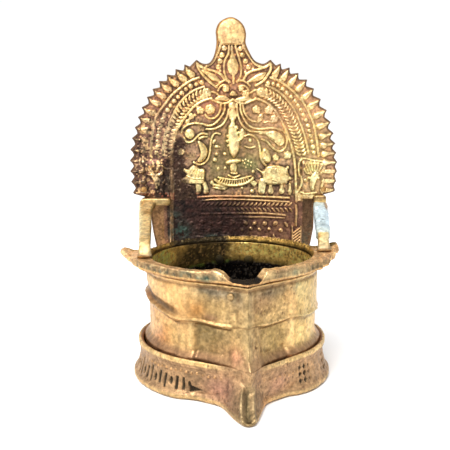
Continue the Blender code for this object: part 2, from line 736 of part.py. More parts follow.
# --------------------------------------------------------------------- build
def main():
    clear_scene()
    lamp = make_collection("diya_oil_lamp")
    cutters = make_collection("cutters")

    brass = material("cast_brass", (0.72, 0.50, 0.22), 0.42)
    dark = material("aged_brass", (0.42, 0.26, 0.14), 0.55)
    rim_brass = material("rim_brass", (0.62, 0.44, 0.25), 0.48)
    pale = material("strut_brass", (0.76, 0.56, 0.27), 0.40)
    solder = material("solder_grey", (0.72, 0.76, 0.76), 0.50)
    rivet = material("rivet_brass", (0.66, 0.46, 0.22), 0.42)

    make_bowl(lamp, cutters, brass)
    make_rim(lamp, cutters, rim_brass)
    make_plinth(lamp, cutters, brass)
    make_plate(lamp, cutters, dark)
    make_strut("left_strut", -1, lamp, cutters, pale)
    make_strut("right_strut", 1, lamp, cutters, pale)
    make_sleeve(lamp, cutters, solder)

    point, normal = front_rivet_place()
    head = Vector(point) + Vector(normal) * CLEAR
    make_rivet("front_rivet", 0.9, 1.9, 1.7, 1.1, head, normal, lamp, rivet, tail=False)
    for side, label in ((-1, "left"), (1, "right")):
        make_rivet("plate_rivet_" + label, 1.6, 9.9, 3.0, 1.5,
                   (PLATE_CX + side * RIVET_X, PLATE_Y + PLATE_T + CLEAR, RIVET_Z),
                   (0, 1, 0), lamp, rivet)
        x, z = strut_rivet_place(side)
        make_rivet("strut_rivet_" + label, 1.2, 6.5, 2.3, 1.2,
                   (x, TAB_Y + CLEAR, z), (0, 1, 0), lamp, rivet)


main()
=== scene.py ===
import math
import bpy
import numpy as np
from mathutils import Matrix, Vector


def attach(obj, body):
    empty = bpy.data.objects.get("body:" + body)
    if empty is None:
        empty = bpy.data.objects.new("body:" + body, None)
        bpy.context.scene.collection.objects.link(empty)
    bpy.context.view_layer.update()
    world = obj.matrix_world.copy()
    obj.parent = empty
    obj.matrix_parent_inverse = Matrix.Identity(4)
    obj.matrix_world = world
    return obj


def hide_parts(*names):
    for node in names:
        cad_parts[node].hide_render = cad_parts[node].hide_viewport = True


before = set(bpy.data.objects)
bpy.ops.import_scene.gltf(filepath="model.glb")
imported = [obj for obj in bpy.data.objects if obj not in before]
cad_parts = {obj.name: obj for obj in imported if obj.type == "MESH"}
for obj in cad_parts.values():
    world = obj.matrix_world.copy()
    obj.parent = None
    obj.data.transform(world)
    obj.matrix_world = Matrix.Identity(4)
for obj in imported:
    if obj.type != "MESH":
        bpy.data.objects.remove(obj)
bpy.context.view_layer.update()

MM = 0.001

# ------------------------------------------------------------------ sizes, mm
PLATE_Y, PLATE_T = 43.8, 3.2
PLATE_CX = 2.6
ARCH_Z = 103.6
RIM_TOP, RIM_BOTTOM = 61.6, 56.3
RIM_OUT, RIM_REAR = 46.3, 43.3
EAR_LEFT, EAR_RIGHT, EAR_LEFT_AZ, EAR_RIGHT_AZ, EAR_SWEEP = 56.8, 55.9, 4.0, 8.0, 46.0
NOTCH_AZ = 6.9
DRUM_R, DRUM_LOW_R, DRUM_TOP, STEP_Z = 43.05, 42.2, 56.0, 37.0
KEEL_AZ, KEEL_TOP_R, KEEL_LOW_R = 6.0, 50.0, 55.0
PROW_LEFT, PROW_RIGHT = 38.0, 35.0
BEAK_AZ, BEAK_REACH = 3.9, 24.6
LIP_Z, LIP_R, LIP_IN_R, BASE_R, COLLAR_WALL = 19.5, 47.5, 45.0, 49.9, 2.2
FLOOR_T, BOWL_FLOOR, BOWL_IN_R = 3.0, 9.0, 40.2
EAR_BOTTOM = 83.4


# ------------------------------------------------------------ numpy utilities
def smooth(a, b, x):
    t = np.clip((x - a) / (b - a), 0.0, 1.0)
    return t * t * (3.0 - 2.0 * t)


def hash3(ix, iy, iz, seed):
    h = (ix.astype(np.int64) * 374761393 + iy.astype(np.int64) * 668265263
         + iz.astype(np.int64) * 2147483647 + seed * 144665)
    h = (h ^ (h >> 13)) * 1274126177
    h = h ^ (h >> 16)
    return ((h & 0xFFFFFF).astype(np.float64) / 0xFFFFFF) * 2.0 - 1.0


def vnoise(p, scale, seed=0):
    """Value noise in -1..1 at points p (..., 3) given in mm; scale is its grain in mm."""
    q = p / scale + 1000.5
    i = np.floor(q).astype(np.int64)
    f = q - i
    f = f * f * (3 - 2 * f)
    out = 0.0
    for dx in (0, 1):
        wx = f[..., 0] if dx else 1 - f[..., 0]
        for dy in (0, 1):
            wy = f[..., 1] if dy else 1 - f[..., 1]
            for dz in (0, 1):
                wz = f[..., 2] if dz else 1 - f[..., 2]
                out = out + wx * wy * wz * hash3(i[..., 0] + dx, i[..., 1] + dy, i[..., 2] + dz, seed)
    return out


def fbm(p, scale, octaves=3, seed=0):
    out, amp, total = 0.0, 1.0, 0.0
    for k in range(octaves):
        out = out + amp * vnoise(p, scale / 2 ** k, seed + 17 * k)
        total += amp
        amp *= 0.55
    return out / total


def pits(p, scale, seed, threshold=0.55):
    """Sparse small hollows, 0..1."""
    return smooth(threshold, 0.95, vnoise(p, scale, seed))


def srgb(r, g, b):
    c = np.array([r, g, b], float) / 255.0
    return np.where(c <= 0.04045, c / 12.92, ((c + 0.055) / 1.055) ** 2.4)


def mix(a, b, t):
    t = np.clip(np.asarray(t, float), 0, 1)[..., None]
    return a * (1 - t) + b * t


def gauss(p, centre, radius):
    """Soft blob of 1 at centre; radius may be one number or one for each axis."""
    d = (p - np.array(centre)) / np.array(radius)
    return np.exp(-np.sum(d * d, axis=-1))


# -------------------------------------------------------------- mesh building
def new_mesh(name, verts, faces, layers=None, smooth_shade=True):
    """verts in mm; faces an (n, 4) or (n, 3) array, or a list of both."""
    mesh = bpy.data.meshes.new(name)
    blocks = faces if isinstance(faces, list) else [faces]
    blocks = [b for b in blocks if len(b)]
    loops = np.concatenate([b.ravel() for b in blocks]).astype(np.int32)
    sizes = np.concatenate([np.full(len(b), b.shape[1]) for b in blocks])
    starts = np.concatenate([[0], np.cumsum(sizes)[:-1]]).astype(np.int32)
    mesh.vertices.add(len(verts))
    mesh.vertices.foreach_set("co", (verts * MM).astype(np.float32).ravel())
    mesh.loops.add(len(loops))
    mesh.loops.foreach_set("vertex_index", loops)
    mesh.polygons.add(len(sizes))
    mesh.polygons.foreach_set("loop_start", starts)
    mesh.update(calc_edges=True)
    mesh.validate()
    if smooth_shade:
        mesh.shade_smooth()
    for key, values in (layers or {}).items():
        if values.ndim == 2:
            att = mesh.color_attributes.new(key, "FLOAT_COLOR", "POINT")
            rgba = np.ones((len(verts), 4), np.float32)
            rgba[:, :3] = values
            att.data.foreach_set("color", rgba.ravel())
        else:
            att = mesh.attributes.new(key, "FLOAT", "POINT")
            att.data.foreach_set("value", values.astype(np.float32))
    ob = bpy.data.objects.new(name, mesh)
    bpy.context.scene.collection.objects.link(ob)
    return ob


def volume_sign(verts, quads):
    a, b, c, d = (verts[quads[:, k]] for k in range(4))
    return (np.einsum("ij,ij->i", a, np.cross(b, c)).sum()
            + np.einsum("ij,ij->i", a, np.cross(c, d)).sum())


def grid_faces(m, n, wrap_m, wrap_n):
    i = np.arange(m if wrap_m else m - 1)
    j = np.arange(n if wrap_n else n - 1)
    i, j = np.meshgrid(i, j, indexing="ij")
    i2, j2 = (i + 1) % m, (j + 1) % n
    return np.stack([i * n + j, i2 * n + j, i2 * n + j2, i * n + j2], -1).reshape(-1, 4)


def grid_normals(P, wrap_m, wrap_n):
    du = (np.roll(P, -1, 0) - np.roll(P, 1, 0)) if wrap_m else np.gradient(P, axis=0)
    dv = (np.roll(P, -1, 1) - np.roll(P, 1, 1)) if wrap_n else np.gradient(P, axis=1)
    n = np.cross(du, dv)
    return n / (np.linalg.norm(n, axis=-1, keepdims=True) + 1e-9)


def grid_body(name, P, wrap_n, layers, caps=True):
    """Body whose rows wrap in the first index; the second either wraps too or
    runs between two small end caps."""
    m, n = P.shape[:2]
    verts = P.reshape(-1, 3)
    quads = grid_faces(m, n, True, wrap_n)
    tris = np.zeros((0, 3), int)
    flat = {k: v.reshape(-1, 3) if v.ndim == 3 else v.reshape(-1) for k, v in layers.items()}
    if not wrap_n and caps:
        c0, c1 = P[:, 0].mean(0), P[:, -1].mean(0)
        base = len(verts)
        verts = np.vstack([verts, c0, c1])
        i = np.arange(m)
        i2 = (i + 1) % m
        tris = np.vstack([np.stack([np.full(m, base), i2 * n, i * n], -1),
                          np.stack([np.full(m, base + 1), i * n + n - 1, i2 * n + n - 1], -1)])
        for k, v in flat.items():
            ends = v.reshape((m, n) + v.shape[1:])
            flat[k] = np.concatenate([v, ends[:, 0].mean(0)[None], ends[:, -1].mean(0)[None]])
    if volume_sign(verts, quads) < 0:
        quads = quads[:, ::-1]
        tris = tris[:, ::-1]
    return new_mesh(name, verts, [quads, tris], flat)


def resample(points, step):
    """Even spacing along an open polyline of any dimension."""
    points = np.asarray(points, float)
    d = np.concatenate([[0], np.cumsum(np.linalg.norm(np.diff(points[:, :2], axis=0), axis=1))])
    n = max(2, int(round(d[-1] / step)) + 1)
    s = np.linspace(0, d[-1], n)
    return np.stack([np.interp(s, d, points[:, k]) for k in range(points.shape[1])], -1)


def spline(points, closed=False, per=8):
    p = np.asarray(points, float)
    if len(p) < 3:
        return p
    if closed:
        ext = np.vstack([p[-1], p, p[0], p[1]])
    else:
        ext = np.vstack([2 * p[0] - p[1], p, 2 * p[-1] - p[-2]])
    out = []
    for i in range(1, len(ext) - 2):
        a, b, c, d = ext[i - 1:i + 3]
        t = np.linspace(0, 1, per, endpoint=False)[:, None]
        out.append(0.5 * (2 * b + (c - a) * t + (2 * a - 5 * b + 4 * c - d) * t ** 2
                          + (3 * b - a - 3 * c + d) * t ** 3))
    if not closed:
        out.append(ext[-2][None])
    return np.vstack(out)


# ------------------------------------------------------------ plate: relief map
STEP = 0.2
X0, X1, Z0, Z1 = -60.0, 66.0, 43.0, 182.0
gx = np.arange(X0, X1, STEP)
gz = np.arange(Z0, Z1, STEP)
GX, GZ = np.meshgrid(gx, gz, indexing="ij")
H = np.zeros_like(GX)


def window(pts, margin):
    pts = np.asarray(pts, float)
    i0 = max(0, int((pts[:, 0].min() - margin - X0) / STEP))
    i1 = min(len(gx), int((pts[:, 0].max() + margin - X0) / STEP) + 2)
    j0 = max(0, int((pts[:, 1].min() - margin - Z0) / STEP))
    j1 = min(len(gz), int((pts[:, 1].max() + margin - Z0) / STEP) + 2)
    return slice(i0, i1), slice(j0, j1)


def seg_distance(x, z, pts, widths=None):
    """Distance to a polyline; with widths, also the width at the nearest point."""
    best = np.full(x.shape, 1e9)
    wbest = np.zeros(x.shape)
    for k in range(len(pts) - 1):
        ax, az = pts[k][:2]
        bx, bz = pts[k + 1][:2]
        dx, dz = bx - ax, bz - az
        t = np.clip(((x - ax) * dx + (z - az) * dz) / (dx * dx + dz * dz + 1e-12), 0, 1)
        d = np.hypot(x - ax - t * dx, z - az - t * dz)
        if widths is not None:
            w = widths[k] + (widths[k + 1] - widths[k]) * t
            score = d - w
            m = score < best
            best = np.where(m, score, best)
            wbest = np.where(m, w, wbest)
        else:
            best = np.minimum(best, d)
    return (best, wbest) if widths is not None else best


def raise_to(win, value):
    H[win] = np.maximum(H[win], value)


def line(width, height, pts):
    p = spline(pts, per=5)
    w = width / 2.0 * (1.42 if width < 1.2 else 1.22)
    win = window(p, w + 0.3)
    d = seg_distance(GX[win], GZ[win], p)
    t = np.clip(1 - (d / w) ** 2, 0, 1)
    raise_to(win, 1.12 * height * t ** 0.6)


def taper(height, pts):
    p = spline(pts, per=5)
    w = np.maximum(p[:, 2] / 2.0 * 1.18 + 0.08, 0.2)
    win = window(p, w.max() + 0.3)
    d, wn = seg_distance(GX[win], GZ[win], p, w)
    depth = np.clip(-d / np.maximum(wn, 0.05), 0, 1)
    top = height * np.clip((wn / w.max()) ** 0.35, 0.55, 1)
    raise_to(win, top * (1 - (1 - depth) ** 2) ** 0.55)


def dots(radius, height, pts):
    radius = radius * 1.08 + 0.08
    for p in pts:
        win = window([p], radius + 0.3)
        d = np.hypot(GX[win] - p[0], GZ[win] - p[1])
        raise_to(win, height * np.clip(1 - (d / radius) ** 2, 0, 1) ** 0.5)


def flower(radius, height, petals, c):
    for k in range(petals):
        a = math.tau * (k + 0.25) / petals
        pc = (c[0] + radius * 0.56 * math.cos(a), c[1] + radius * 0.56 * math.sin(a))
        dots(radius * 0.48, height * 0.82, [pc])
    dots(radius * 0.36, height, [c])


def polygon_depth(x, z, pts):
    p = np.asarray(pts, float)
    inside = np.zeros(x.shape, bool)
    n = len(p)
    best = np.full(x.shape, 1e9)
    for k in range(n):
        ax, az = p[k]
        bx, bz = p[(k + 1) % n]
        dx, dz = bx - ax, bz - az
        t = np.clip(((x - ax) * dx + (z - az) * dz) / (dx * dx + dz * dz + 1e-12), 0, 1)
        best = np.minimum(best, np.hypot(x - ax - t * dx, z - az - t * dz))
        if az != bz:
            cross = ((az > z) != (bz > z)) & (x < (bx - ax) * (z - az) / (bz - az) + ax)
            inside ^= cross
    return np.where(inside, best, -best)


def pad(height, soft, pts):
    win = window(pts, 0.5)
    d = polygon_depth(GX[win], GZ[win], spline(pts, closed=True, per=4))
    raise_to(win, np.where(d > 0, height * (1 - (1 - np.clip(d / soft, 0, 1)) ** 2) ** 0.5, 0))


def relief_strokes():
    line(1.25, 0.8, [(-4.4, 166.5), (-5.4, 163.1), (-6.8, 160.2), (-8.1, 157.7), (-10, 155.6), (-12.3, 154.4)])
    line(1.25, 0.8, [(7, 166.5), (8.1, 163.8), (9.9, 160.9), (12.2, 157.7), (14.5, 155.2), (17.8, 153.8), (19.2, 154)])
    dots(1.39, 1, [(-2.7, 163.9), (-3.9, 160.3), (-5, 157), (-5.8, 154)])
    dots(0.65, 0.6, [(-4.8, 152.1)])
    dots(1.3, 1, [(5.9, 163.6), (7.1, 160.3), (8.7, 157), (10.3, 154)])
    dots(0.84, 0.7, [(12.9, 152.8), (8.8, 151.1)])
    line(0.95, 0.9, [(-0.1, 164.9), (-0.5, 160.8), (-2.1, 158.1), (-2.8, 155), (-2.6, 151.3), (-1.4, 148.1), (0.3, 146.1)])
    line(0.95, 0.9, [(3.3, 164.9), (4.6, 160.8), (5.7, 157.2), (6.5, 154.1), (6.4, 150.9), (5.7, 148.1), (4.5, 146.3)])
    taper(1.3, [(1.4, 164.9, 1.02), (1.5, 161.3, 1.3), (1.8, 157.7, 3.25), (1.9, 155, 5.21), (2.1, 152.2, 4.42), (2.3, 150.2, 1.58), (2.3, 145.4, 1.02)])
    dots(0.65, 0.8, [(-0.2, 145.8), (4.3, 146.1)])
    line(1.15, 0.9, [(-17.6, 157.6), (-16.2, 155), (-13.7, 153.4), (-10, 152.3), (-6.8, 151.3), (-4.5, 150), (-2.5, 147.6)])
    line(1.15, 0.9, [(-17.6, 157.6), (-16.7, 153.8), (-14.6, 150.5), (-12.3, 147.8), (-9.6, 145.4), (-6.8, 143.3)])
    taper(1.1, [(-14.6, 152.3, 0.65), (-11.4, 150.4, 2.05), (-8.6, 148.5, 2.98), (-6.3, 147, 1.86), (-4.7, 146.1, 0.56)])
    line(1.15, 0.9, [(22.3, 157.7), (21, 155), (18.2, 153.4), (15, 152.5), (11.8, 151.6), (9.5, 150.2), (8, 147.9)])
    line(1.15, 0.9, [(22.3, 157.7), (22.4, 152.9), (20.6, 149.5), (18.3, 146.5), (14.4, 144.1)])
    taper(1.1, [(19.7, 150.9, 0.74), (16.9, 149.1, 3.07), (14.6, 147.9, 3.07), (11.8, 146.8, 1.58), (9.5, 145.9, 0.46)])
    line(0.9, 0.9, [(-6.8, 143.7), (-4.9, 145.6), (-2.6, 146.8), (-0.8, 146.4)])
    line(0.9, 0.9, [(-6, 141.5), (-4.9, 143.5), (-2.6, 144.6), (-0.5, 143.7)])
    line(0.9, 0.9, [(4.8, 146.7), (7.1, 146.8), (9.5, 145.7), (11.4, 143.9)])
    line(0.9, 0.9, [(5.3, 143.6), (7.6, 144.2), (9.5, 143.2), (10.5, 141.7)])
    flower(1.86, 1.5, 6, (-1.9, 142.4))
    flower(1.49, 1.4, 5, (6.5, 142.3))
    flower(2.05, 1.5, 6, (9, 139.8))
    pad(1.6, 0.5, [(2, 141.7), (0.1, 138.9), (4.5, 138.9)])
    line(1.1, 1.2, [(-9.8, 137), (-6.8, 135.5), (-3.1, 134.6), (-0.3, 135.3), (1.8, 136.7)])
    line(1.1, 1.2, [(2.3, 136.7), (5.3, 135), (8.1, 134.5), (11.4, 135.7), (14.2, 136.9)])
    taper(1.3, [(-7.3, 137.1, 0.74), (-4.9, 137.4, 2.7), (-2.6, 137.2, 2.6), (-0.3, 136.8, 0.84)])
    taper(1.3, [(3.9, 136.8, 0.84), (6.2, 136.8, 2.32), (9, 137, 2.51), (11.8, 136.9, 0.84)])
    line(0.8, 0.8, [(-10, 141), (-7.7, 140.4), (-5.8, 139.1)])
    line(0.8, 0.8, [(11.8, 140.3), (13.7, 141.6), (16.5, 141.9)])
    flower(2.42, 1.3, 7, (-12.1, 140.3))
    flower(2.6, 1.3, 7, (17.4, 140.6))
    dots(1.39, 1, [(20.6, 138.7), (-13.7, 138.4)])
    dots(2.05, 1.3, [(1.7, 133.4)])
    taper(1.1, [(1.9, 131.1, 1.86), (1.9, 128.4, 3.91), (1.9, 126.7, 2.79)])
    line(0.95, 1, [(-4.5, 134.3), (-4.9, 130.8), (-6.8, 127.7), (-9.4, 126.4), (-11.9, 127.3), (-13, 128.6)])
    line(0.95, 1, [(-2.4, 134.1), (-2.6, 130.8), (-4, 128), (-5.9, 125.6), (-8.7, 123.2), (-11.5, 122.7), (-14.8, 123.6), (-19, 123.9), (-22.7, 123), (-25.3, 120.9), (-25.9, 118.8)])
    line(0.95, 1, [(-0.2, 131.3), (-1.2, 127.6), (-3.1, 123.9), (-5.9, 121.8), (-9.2, 120.8), (-12.5, 120.7)])
    dots(2.51, 1.5, [(-21.6, 118.3)])
    line(0.9, 1, [(-24.6, 116), (-23.3, 114.1), (-21.3, 113.6), (-19, 115), (-16.7, 117.4), (-14.3, 118.5), (-11.9, 118)])
    line(0.95, 1, [(7.4, 134.3), (8.1, 130.3), (10, 127.1), (12.4, 125.2), (14.8, 124.7)])
    line(0.95, 1, [(6, 134.1), (6.3, 130.3), (8.2, 126.2), (10, 123.4), (13.3, 121.3), (17.6, 120.8), (22.3, 121.3), (26.5, 120.8), (29.8, 119.2), (31.5, 115.9), (31.3, 112.1), (29.5, 109.3), (26.6, 108.8), (23.3, 111.1), (20.9, 113.8), (18.1, 115.1)])
    line(0.95, 1, [(4.2, 134.3), (4.4, 130.3), (5.3, 126.6), (7.2, 122.9), (10.1, 120.3), (13.8, 119.3), (19, 119.1), (21.8, 118.6)])
    taper(1.4, [(16.7, 118.3, 0.84), (20.9, 118.3, 2.14), (24.7, 117.1, 4.84), (27.5, 114.9, 4.46), (28.2, 113.1, 2.32)])
    line(0.8, 1.5, [(25.4, 113.8), (27.6, 111.9), (29.5, 113.1), (29.7, 115.6), (28, 117.8), (25.1, 119.2)])
    flower(2.14, 1.4, 5, (-15.7, 130.8))
    flower(2.79, 1.5, 6, (-10.4, 131.5))
    flower(1.58, 1, 5, (-20.5, 127.8))
    dots(1.21, 1, [(-22.8, 124.8)])
    dots(0.74, 0.8, [(-18.5, 128.3), (-21.5, 126.4), (-17.1, 132.7)])
    flower(2.32, 1.5, 5, (14.9, 131.3))
    flower(2.32, 1.5, 5, (21.5, 130.8))
    flower(2.23, 1.5, 6, (24.5, 126.2))
    dots(0.74, 0.9, [(24.5, 129.3)])
    taper(1.2, [(18, 128.9, 0.74), (17, 127, 2.7), (15.9, 124.1, 0.65)])
    line(0.7, 0.7, [(19, 124.1), (21.3, 124.8), (23.2, 124.3)])
    flower(2.05, 1.1, 5, (-26.4, 108.4))
    flower(2.14, 1.3, 5, (32.1, 106.5))
    flower(1.77, 1.2, 5, (25.6, 105))
    dots(0.65, 0.8, [(27.2, 108.3), (-28, 111.3), (-29.4, 114.1)])
    dots(1.1, 1.7, [(1.9, 125.6), (2.0, 123.9)])
    taper(2.4, [(1.9, 124.8, 1.2), (1.7, 121.8, 3.2), (2.0, 118.5, 4.4), (2.5, 114.5, 5.2), (2.7, 110.6, 4.8), (2.6, 107.8, 3.2), (2.5, 106.0, 1.2)])
    dots(1.1, 2.15, [(0.6, 121.9), (3.9, 121.6), (1.1, 118.8), (3.7, 118.4), (2.6, 120.4)])
    dots(1.2, 2.3, [(1.1, 115.7), (3.6, 115.2), (1.4, 112.6), (3.8, 112.0), (2.6, 109.9)])
    dots(0.8, 2.2, [(-0.9, 117.0), (-1.0, 114.3), (-0.4, 111.8), (5.4, 118.9), (5.3, 114.6)])
    taper(1.4, [(7.2, 120.6, 0.93), (7.1, 118.7, 2.42), (6.5, 116.4, 2.14), (6, 114.7, 0.65)])
    taper(1.6, [(-1.1, 102.4, 1.39), (0.7, 102.8, 2.51), (2.6, 103.1, 2.32), (5.8, 103.6, 1.58)])
    taper(1.4, [(2.1, 101.8, 2.05), (2.4, 99.4, 3.25), (2.6, 98, 1.86)])
    line(0.7, 0.9, [(1.2, 96.8), (2.6, 96.4), (4.5, 96.7)])
    line(0.8, 1, [(-0.3, 95.6), (2.6, 94.4), (5.9, 95.4)])
    dots(0.93, 1, [(11.6, 114.6)])
    line(0.8, 0.9, [(8.6, 111.3), (11.5, 110.5), (14.2, 111.2)])
    taper(0.9, [(-8.7, 112.7, 0.56), (-8.4, 113.8, 1.39), (-7.3, 115, 0.46)])
    taper(0.9, [(-7.8, 111.2, 0.65), (-6.6, 111.2, 1.58), (-5, 111, 0.46)])
    dots(0.79, 0.8, [(-6.9, 107), (-2.4, 107.2), (-5.9, 99.1), (13.3, 97.5), (-2.1, 99.4)])
    dots(1.12, 1, [(-7.8, 104)])
    dots(0.55, 0.5, [(7.6, 103.4), (9.1, 104.0), (10.6, 103.2), (12.2, 102.4), (8.6, 101.9), (10.3, 101.2), (12.0, 100.6), (9.3, 99.8)])
    line(0.9, 1.1, [(-5, 118), (-6.8, 118.6), (-8.6, 117.7), (-9.8, 115), (-10.3, 110.3), (-10.9, 106.6), (-12.4, 103.3), (-14.9, 101.6), (-17.2, 101.6), (-19.4, 102.7)])
    taper(1.3, [(-16.2, 115.7, 1.21), (-14.3, 116.4, 1.39), (-12, 116.6, 0.65)])
    taper(1.5, [(-16.5, 113.8, 1.21), (-14.8, 111.3, 2.79), (-13.7, 108.4, 3.25), (-14.4, 105.6, 2.79), (-16.3, 103.7, 1.86)])
    pad(1.7, 1, [(-25, 99.5), (-22.8, 98.7), (-19.6, 101.3), (-16.3, 99.4), (-13.5, 98.9), (-13.4, 94.3), (-14.5, 90.6), (-19.7, 90.7), (-25.6, 91.3), (-26.4, 93.1), (-23.5, 95.7)])
    line(0.6, 2.1, [(-19.2, 99.1), (-21.1, 95.9)])
    line(0.6, 2.1, [(-17.9, 98.4), (-19, 94.5)])
    line(0.6, 2.1, [(-16.6, 98.1), (-17.1, 94.3)])
    line(0.6, 2.1, [(-15.4, 97.9), (-15.5, 94)])
    line(0.6, 2.1, [(-14.1, 97.8), (-14.1, 94)])
    line(0.7, 2.1, [(-23.4, 95.2), (-19.7, 93.9), (-14, 93.8)])
    dots(0.93, 1.6, [(-24.3, 98.1), (-21.8, 92.4)])
    taper(1.3, [(-13.8, 90.9, 2.05), (-13.1, 89.5, 1.86), (-12.3, 87.6, 1.67)])
    taper(1.3, [(-17.1, 90.5, 2.32), (-16.6, 88.8, 2.14), (-16.4, 87.1, 1.86)])
    taper(1.2, [(-17.3, 90, 1.99), (-17.2, 87.6, 1.99), (-17.1, 86.2, 2.58)])
    taper(1.2, [(-13.3, 90, 1.76), (-12.9, 87.5, 1.87), (-12.8, 86.5, 2.58)])
    line(0.95, 1.1, [(8.4, 116.9), (11, 117.7), (13.8, 116.7), (15.7, 114.5), (16.7, 111.2), (17.1, 106.5), (18.1, 103.2), (20.1, 101)])
    pad(1.5, 1.2, [(18.1, 109.3), (19.5, 110.4), (21.4, 109.3), (22.6, 106.5), (23.1, 103.6), (21, 102.2), (18.7, 103.2), (17.6, 106.5)])
    line(0.6, 1.9, [(19.1, 108.8), (20.5, 107.4), (20.2, 105.1), (18.6, 104.6), (18.1, 106.5), (19.1, 108.8)])
    pad(1.8, 1.1, [(15, 99.4), (18.7, 97.8), (20.6, 100.3), (25.8, 101.2), (31, 99.7), (32.3, 99.4), (32.5, 97), (33.9, 93.4), (32.3, 92.2), (31.8, 90.8), (25.9, 90.3), (19.2, 90.8), (18.5, 95.1), (17.3, 97)])
    line(0.6, 2.2, [(23, 99.5), (23.3, 97.7)])
    line(0.6, 2.2, [(25.6, 99), (25.8, 97)])
    line(0.6, 2.2, [(27.7, 98.8), (27.7, 97)])
    line(0.6, 2.2, [(31.1, 96.7), (32.3, 95.5)])
    line(0.6, 2.2, [(24, 92.9), (26.4, 92.2)])
    dots(0.84, 2, [(32.2, 99.7), (33.6, 93.7), (28.7, 91)])
    taper(1.4, [(18.5, 91.7, 3.75), (18.2, 89.2, 3.51), (18, 86.6, 3.16)])
    taper(1.2, [(22.9, 90.4, 1.41), (22.9, 88, 1.76), (23, 86.6, 2.81)])
    taper(1.2, [(29, 90.4, 1.52), (29.1, 88, 1.76), (29.1, 86.6, 2.81)])
    taper(1, [(33.6, 90.4, 1.05), (33.7, 87.4, 1.29), (33.7, 86.4, 2.11)])
    dots(0.76, 0.9, [(33.7, 85.3)])
    line(1.5, 1.6, [(-7.6, 93), (-4.5, 91.1), (-1.2, 90.1), (2.6, 89.8), (6.4, 90.3), (10.2, 91.5), (13.1, 93.9)])
    line(0.8, 1.3, [(-5.9, 94.3), (-2.1, 93.6), (2.6, 93), (7.3, 93.8), (12.1, 95.1)])
    line(0.75, 1.25, [(-4.2, 94.1), (-5.5, 92.2)])
    line(0.75, 1.25, [(-3, 93.9), (-4.1, 91.6)])
    line(0.75, 1.25, [(-1.8, 93.7), (-2.7, 91.1)])
    line(0.75, 1.25, [(-0.6, 93.5), (-1.4, 90.7)])
    line(0.75, 1.25, [(0.6, 93.4), (0, 90.4)])
    line(0.75, 1.25, [(1.8, 93.3), (1.4, 90.2)])
    line(0.75, 1.25, [(3, 93.3), (2.8, 90.1)])
    line(0.75, 1.25, [(4.2, 93.3), (4.2, 90.2)])
    line(0.75, 1.25, [(5.4, 93.3), (5.6, 90.4)])
    line(0.75, 1.25, [(6.6, 93.5), (6.9, 90.7)])
    line(0.75, 1.25, [(7.8, 93.6), (8.3, 91.1)])
    line(0.75, 1.25, [(9, 93.8), (9.7, 91.6)])
    line(0.75, 1.25, [(10.2, 94), (11.1, 92.2)])
    dots(1.02, 1.1, [(-9.5, 91.5)])
    taper(1.1, [(-8.8, 90.4, 1.12), (-5, 89.4, 1.58), (-1.2, 88.4, 0.56)])
    taper(0.9, [(-8.8, 88.8, 0.46), (-5, 88, 0.93), (-2.1, 87.8, 0.37)])
    line(0.6, 0.9, [(11.4, 91.7), (14, 89.4)])
    line(0.6, 0.9, [(12.2, 91.8), (14.4, 90)])
    line(0.6, 0.9, [(13.1, 92), (14.8, 90.5)])
    line(0.6, 0.9, [(13.9, 92.1), (15.1, 91.1)])
    dots(1.05, 1.1, [(12.7, 86.6)])
    dots(0.7, 0.8, [(7.1, 88.4)])
    line(0.95, 0.9, [(-17.1, 83.3), (-7.8, 83.9), (4.2, 83.9), (16.2, 83.6), (33.3, 82.8)])
    line(0.95, 0.9, [(-15.6, 81.1), (-7.8, 82), (4.2, 82), (16.2, 81.5), (33.4, 80.5)])
    taper(0.9, [(-15, 78.6, 0.47), (-14, 79.4, 0.94), (-13.3, 80.4, 0.41)])
    taper(0.8, [(-14.6, 77.2, 0.41), (-13.8, 76.4, 0.88), (-13.1, 75.3, 0.41)])
    taper(0.9, [(-12.6, 78.6, 0.47), (-11.6, 79.4, 0.94), (-10.9, 80.4, 0.41)])
    taper(0.8, [(-12.2, 77.1, 0.41), (-11.4, 76.4, 0.88), (-10.7, 75.3, 0.41)])
    taper(0.9, [(-10.2, 78.6, 0.47), (-9.2, 79.4, 0.94), (-8.5, 80.4, 0.41)])
    taper(0.8, [(-9.8, 77.1, 0.41), (-9, 76.3, 0.88), (-8.3, 75.3, 0.41)])
    taper(0.9, [(-7.8, 78.6, 0.47), (-6.8, 79.4, 0.94), (-6.1, 80.4, 0.41)])
    taper(0.8, [(-7.4, 77.1, 0.41), (-6.6, 76.3, 0.88), (-5.9, 75.3, 0.41)])
    taper(0.9, [(-5.4, 78.6, 0.47), (-4.4, 79.4, 0.94), (-3.7, 80.4, 0.41)])
    taper(0.8, [(-5, 77.1, 0.41), (-4.2, 76.3, 0.88), (-3.5, 75.3, 0.41)])
    taper(0.9, [(-3, 78.6, 0.47), (-2, 79.4, 0.94), (-1.3, 80.4, 0.41)])
    taper(0.8, [(-2.6, 77.1, 0.41), (-1.8, 76.3, 0.88), (-1.1, 75.3, 0.41)])
    taper(0.9, [(-0.6, 78.6, 0.47), (0.4, 79.3, 0.94), (1.1, 80.4, 0.41)])
    taper(0.8, [(-0.2, 77.1, 0.41), (0.6, 76.3, 0.88), (1.3, 75.3, 0.41)])
    taper(0.9, [(1.8, 78.5, 0.47), (2.8, 79.3, 0.94), (3.5, 80.4, 0.41)])
    taper(0.8, [(2.2, 77.1, 0.41), (3, 76.3, 0.88), (3.7, 75.3, 0.41)])
    taper(0.9, [(4.2, 78.5, 0.47), (5.2, 79.3, 0.94), (5.9, 80.4, 0.41)])
    taper(0.8, [(4.6, 77.1, 0.41), (5.4, 76.3, 0.88), (6.1, 75.2, 0.41)])
    taper(0.9, [(6.6, 78.5, 0.47), (7.6, 79.3, 0.94), (8.3, 80.3, 0.41)])
